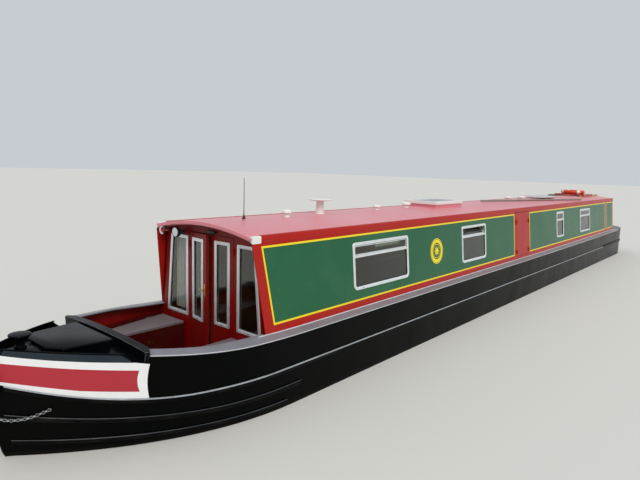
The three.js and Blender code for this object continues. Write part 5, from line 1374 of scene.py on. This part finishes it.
def make_bow():
    """Foredeck with its locker lid, coaming, mooring stud, fender chains and the bench's lock plate."""
    hinges = [patch for y in LID_HINGES for patch in lid_hinge(y)]
    piece("foredeck_plate", [foredeck(), lid_rim(), *hinges], DECK_BLACK, "hull_black", replaces=["foredeck"])
    # The lid's and the beam's eased edges are pale: painted highlights.
    eased("foredeck_lid", DECK_BLACK, "hull_black", "foredeck_lid", 0.006, wear_and_highlight=EDGE_HIGHLIGHT)
    eased("coaming", DECK_BLACK, "hull_black", width=0.006, steps=3, wear_and_highlight=EDGE_HIGHLIGHT)
    profile = [(0.0, -0.02), (0.048, -0.02), (0.048, 0.012), (0.044, 0.018), (0.036, 0.021), (0.032, 0.03),
               (0.031, 0.092), (0.034, 0.099), (0.046, 0.102), (0.082, 0.103), (0.088, 0.106), (0.09, 0.111),
               (0.086, 0.1175), (0.06, STUD_HEIGHT), (0.0, STUD_HEIGHT)]
    piece("mooring_stud", [lathe(profile, (STUD_X, 0, deck_height(STUD_X)), 48)], DECK_BLACK, "hull_black",
          replaces=["bow_stud"])
    links, lugs = [], []
    for side in (1, -1):
        for (x, z), out, size, run, count in CHAINS:
            eye = np.array([x, float(breadth(x, above(z))), above(z)])
            points = [eye + (0, out, 0), *((a, b, above(c)) for a, b, c in run)]
            links += chain(sagging(np.array(points) * (1, side, 1), count))
            lugs.append(lug(eye * (1, side, 1), size))
    piece("fender_chains", links, GALVANISED, "chrome")
    piece("fender_chain_lugs", lugs, STRAKE_BLACK, "hull_black")
    oval = np.array([0.467, above(0.487)]) + disc(1, 24) * (0.036, 0.018)
    piece("bench_lock_plate", [plate([oval], lambda a, b, h: spots(a, h - 0.432, b), HAIR, 0.004)], BRASS,
          "brass")


make_bow()

LAMP = (0.08, -0.48, above(1.688))
HORN = (0.112, -0.74, above(1.688))
RING_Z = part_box("life_ring")[0].z


def stalk(at, half, reach):
    """A square stalk from the bulkhead to a fitting."""
    x, y, z = at
    return block((0.0015, y - half, z - half), (x - reach, y + half, z + half))


def make_lights():
    """Headlamp, horn and the small lamp box on the bulkhead; profiles are (radius, distance ahead)."""
    shell = [(0.0, -0.03), (0.03, -0.0295), (0.05, -0.022), (0.0585, -0.006), (0.06, 0.012), (0.06, 0.0255),
             (0.058, 0.0285), (0.0545, 0.0295), (0.0515, 0.028), (0.0512, 0.018), (0.0, 0.018)]
    _, y, z = LAMP
    foot = plate([rounded(y - 0.03, y + 0.03, z - 0.03, z + 0.03, 0.008, 0.008)], on_front(), HAIR, 0.004)
    piece("headlamp_body", [lathe(shell, LAMP, 48, "x"), stalk(LAMP, 0.011, 0.01), foot], BLACK,
          "black_plastic", replaces=["headlamp"])
    bowl = [(0.0512, 0.0275), (0.046, 0.0215), (0.03, 0.0195), (0.0, 0.0188), (0.0, 0.0183), (0.0512, 0.0183)]
    piece("headlamp_reflector", [lathe(bowl, LAMP, 48, "x")], CHROME, "chrome")
    lens = [(0.0505, 0.0272), (0.04, 0.0285), (0.02, 0.0294), (0.0, 0.0297), (0.0, 0.0277), (0.02, 0.0274),
            (0.04, 0.0266), (0.0505, 0.0256)]
    piece("headlamp_lens", [lathe(lens, LAMP, 48, "x")], LENS, "solar_glass")
    bell = [(0.0, -0.09), (0.019, -0.0895), (0.022, -0.086), (0.022, -0.03), (0.025, -0.018),
            (0.034, -0.009), (0.046, -0.004), (0.0495, -0.001), (0.0485, 0.0), (0.045, -0.0025),
            (0.032, -0.0075), (0.022, -0.016), (0.017, -0.03), (0.0, -0.034)]
    piece("horn_bell", [lathe(bell, HORN, 48, "x"), stalk(HORN, 0.009, 0.06)], CHROME, "chrome",
          replaces=["horn"])
    mouth = [(0.031, -0.0072), (0.0215, -0.0155), (0.0165, -0.0295), (0.0, -0.033), (0.0, -0.0315),
             (0.0158, -0.0285), (0.0208, -0.0145), (0.0304, -0.0065)]
    piece("horn_mouth", [lathe(mouth, HORN, 48, "x")], FLASH_RED, "cabin_red")
    box = block((0.001, -0.014, above(1.722)), (0.035, 0.13, above(1.752)))
    piece("front_lamp_box", [box], BLACK, "black_plastic", ease=0.004)


def make_ring():
    """The ring buoy and its four white bands."""
    thick = RING["tube"]
    center = (RING["x"], RING["y"], RING_Z + thick)
    arc = lambda t: center + spots(RING["radius"] * np.cos(t), RING["radius"] * np.sin(t), 0)
    round_it = arc(np.arange(72) * 2 * math.pi / 72)
    piece("ring_buoy", [tube(round_it, disc(thick - 0.0005, 28), closed=True)], ORANGE, "ring_orange",
          "slide_hatch", replaces=["life_ring"])
    bands = [tube(arc(np.radians(np.linspace(turn - 9, turn + 9, 9))), disc(thick, 28))
             for turn in (45, 135, 225, 315)]
    piece("ring_buoy_bands", bands, WHITE, "white_paint", "slide_hatch")


def make_panel():
    """The solar panel: an alloy frame on two bars with its cells under glass."""
    lo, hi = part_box("solar_panel")
    x0, x1 = lo.x - BULKHEAD_X, hi.x - BULKHEAD_X
    y, top = hi.y, hi.z
    flat = lambda a, b, h: spots(a, b, top + h)
    outline = lambda s: rounded(x0 + s, x1 - s, -y + s, y - s, 0.003, 0.003, 2)
    section = [(0, -0.03), (0, -0.001), (0.001, 0), (0.017, 0), (0.018, -0.001), (0.018, -0.03)]
    feet = [block((x, -0.06, lo.z), (x + 0.04, 0.06, top - 0.0295)) for x in (x0 + 0.12, x1 - 0.16)]
    piece("solar_frame", [ring(outline, section, flat), *feet], ALLOY, "window_alloy",
          replaces=["solar_panel"])
    piece("solar_cells", [plate([outline(0.0175)], flat, -0.028, -0.003)], CELLS, "solar_glass")


def make_aerial():
    """The saucer aerial: a wide foot, a short neck and a flattened saucer with a rolled rim."""
    lo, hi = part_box("tv_aerial")
    at = ((lo.x + hi.x) / 2 - BULKHEAD_X, (lo.y + hi.y) / 2, lo.z)
    tall = hi.z - lo.z
    foot = [(0.0, -0.004), (0.062, -0.004), (0.066, 0.0), (0.064, 0.006), (0.056, 0.012), (0.05, tall - 0.05),
            (0.052, tall - 0.03), (0.0, tall - 0.03)]
    r = (hi.x - lo.x) / 2
    saucer = [(0.0, tall - 0.034), (0.05, tall - 0.034), (r * 0.8, tall - 0.026), (r - 0.004, tall - 0.019),
              (r, tall - 0.014), (r - 0.004, tall - 0.009), (r * 0.8, tall - 0.004), (r * 0.4, tall - 0.001),
              (0.0, tall)]
    piece("aerial_saucer", [lathe(foot, at, 40), lathe(saucer, at, 48)], WHITE, "white_paint",
          replaces=["tv_aerial"])


def make_skylight_pane():
    """A smoked pane with a low bead, set in the skylight lid's top."""
    lo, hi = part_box("skylight_lid")
    x0, x1, y = lo.x - BULKHEAD_X, hi.x - BULKHEAD_X, SKYLIGHT["half"]
    flat = lambda a, b, h: spots(a, b, hi.z + h)
    outline = lambda s: rounded(x0 + 0.07 + s, x1 - 0.07 - s, -y + 0.06 + s, y - 0.06 - s, 0.03, 0.03)
    piece("skylight_pane", [plate([outline(0)], flat, -0.002, 0.0015)], SMOKED, "black_plastic",
          "skylight_lid")
    bead = [(-0.012, -0.001), (-0.012, 0.003), (-0.009, 0.006), (0.002, 0.006), (0.004, 0.003),
            (0.004, -0.001)]
    piece("skylight_bead", [ring(outline, bead, flat)], ALLOY, "window_alloy", "skylight_lid")


def make_side_fittings():
    """The drip rail over the side hatch: a gutter that sheds rain to both ends."""
    x, z = np.linspace(-7.56, -6.75, 8), above(1.712)
    section = [(0.0, 0.0), (0.018, -0.006), (0.02, -0.004), (0.0195, 0.0), (0.004, 0.0075), (0.0, 0.012)]
    piece("hatch_drip_rail", [bar(section, lambda out, up: on_side(1)(x, z + up, out + HAIR))], COACH_RED,
          "cabin_red")


make_lights()
make_ring()
make_panel()
make_aerial()
make_skylight_pane()
make_side_fittings()

# Finishes of the model's nodes that keep their own mesh

CAD_FINISHES = {
    "base_plate": BOTTOM, "hull_bow": HULL_BLACK, "hull_side_port": HULL_BLACK,
    "hull_side_starboard": HULL_BLACK, "hull_stern": BOTTOM, "well_floor": FLOOR_BOARD, "cabin_floor": OAK,
    "bench_port": LOCKER_RED_SHADED, "bench_starboard": LOCKER_RED_SHADED, "bench_lid_port": LID_BOARD,
    "bench_lid_starboard": LID_BOARD,
    "cabin_side_port": SIDE_RED, "cabin_side_starboard": SIDE_RED, "side_hatch_fore": COACH_RED,
    "side_hatch_aft": COACH_RED, "front_bulkhead": WELL_RED, "rear_bulkhead": COACH_RED,
    "rear_door_port": COACH_RED, "rear_door_starboard": COACH_RED, "stern_deck": DECK_GREY,
    "engine": IRON, "propeller": BRONZE, "rudder": BOTTOM, "tiller": BRASS,
    "whip_aerial": BLACK, "boat_pole": POLE, "bow_fender": ROPE,
}
for name, finish in CAD_FINISHES.items():
    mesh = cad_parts[name].data
    mesh.materials.clear()
    mesh.materials.append(finish)
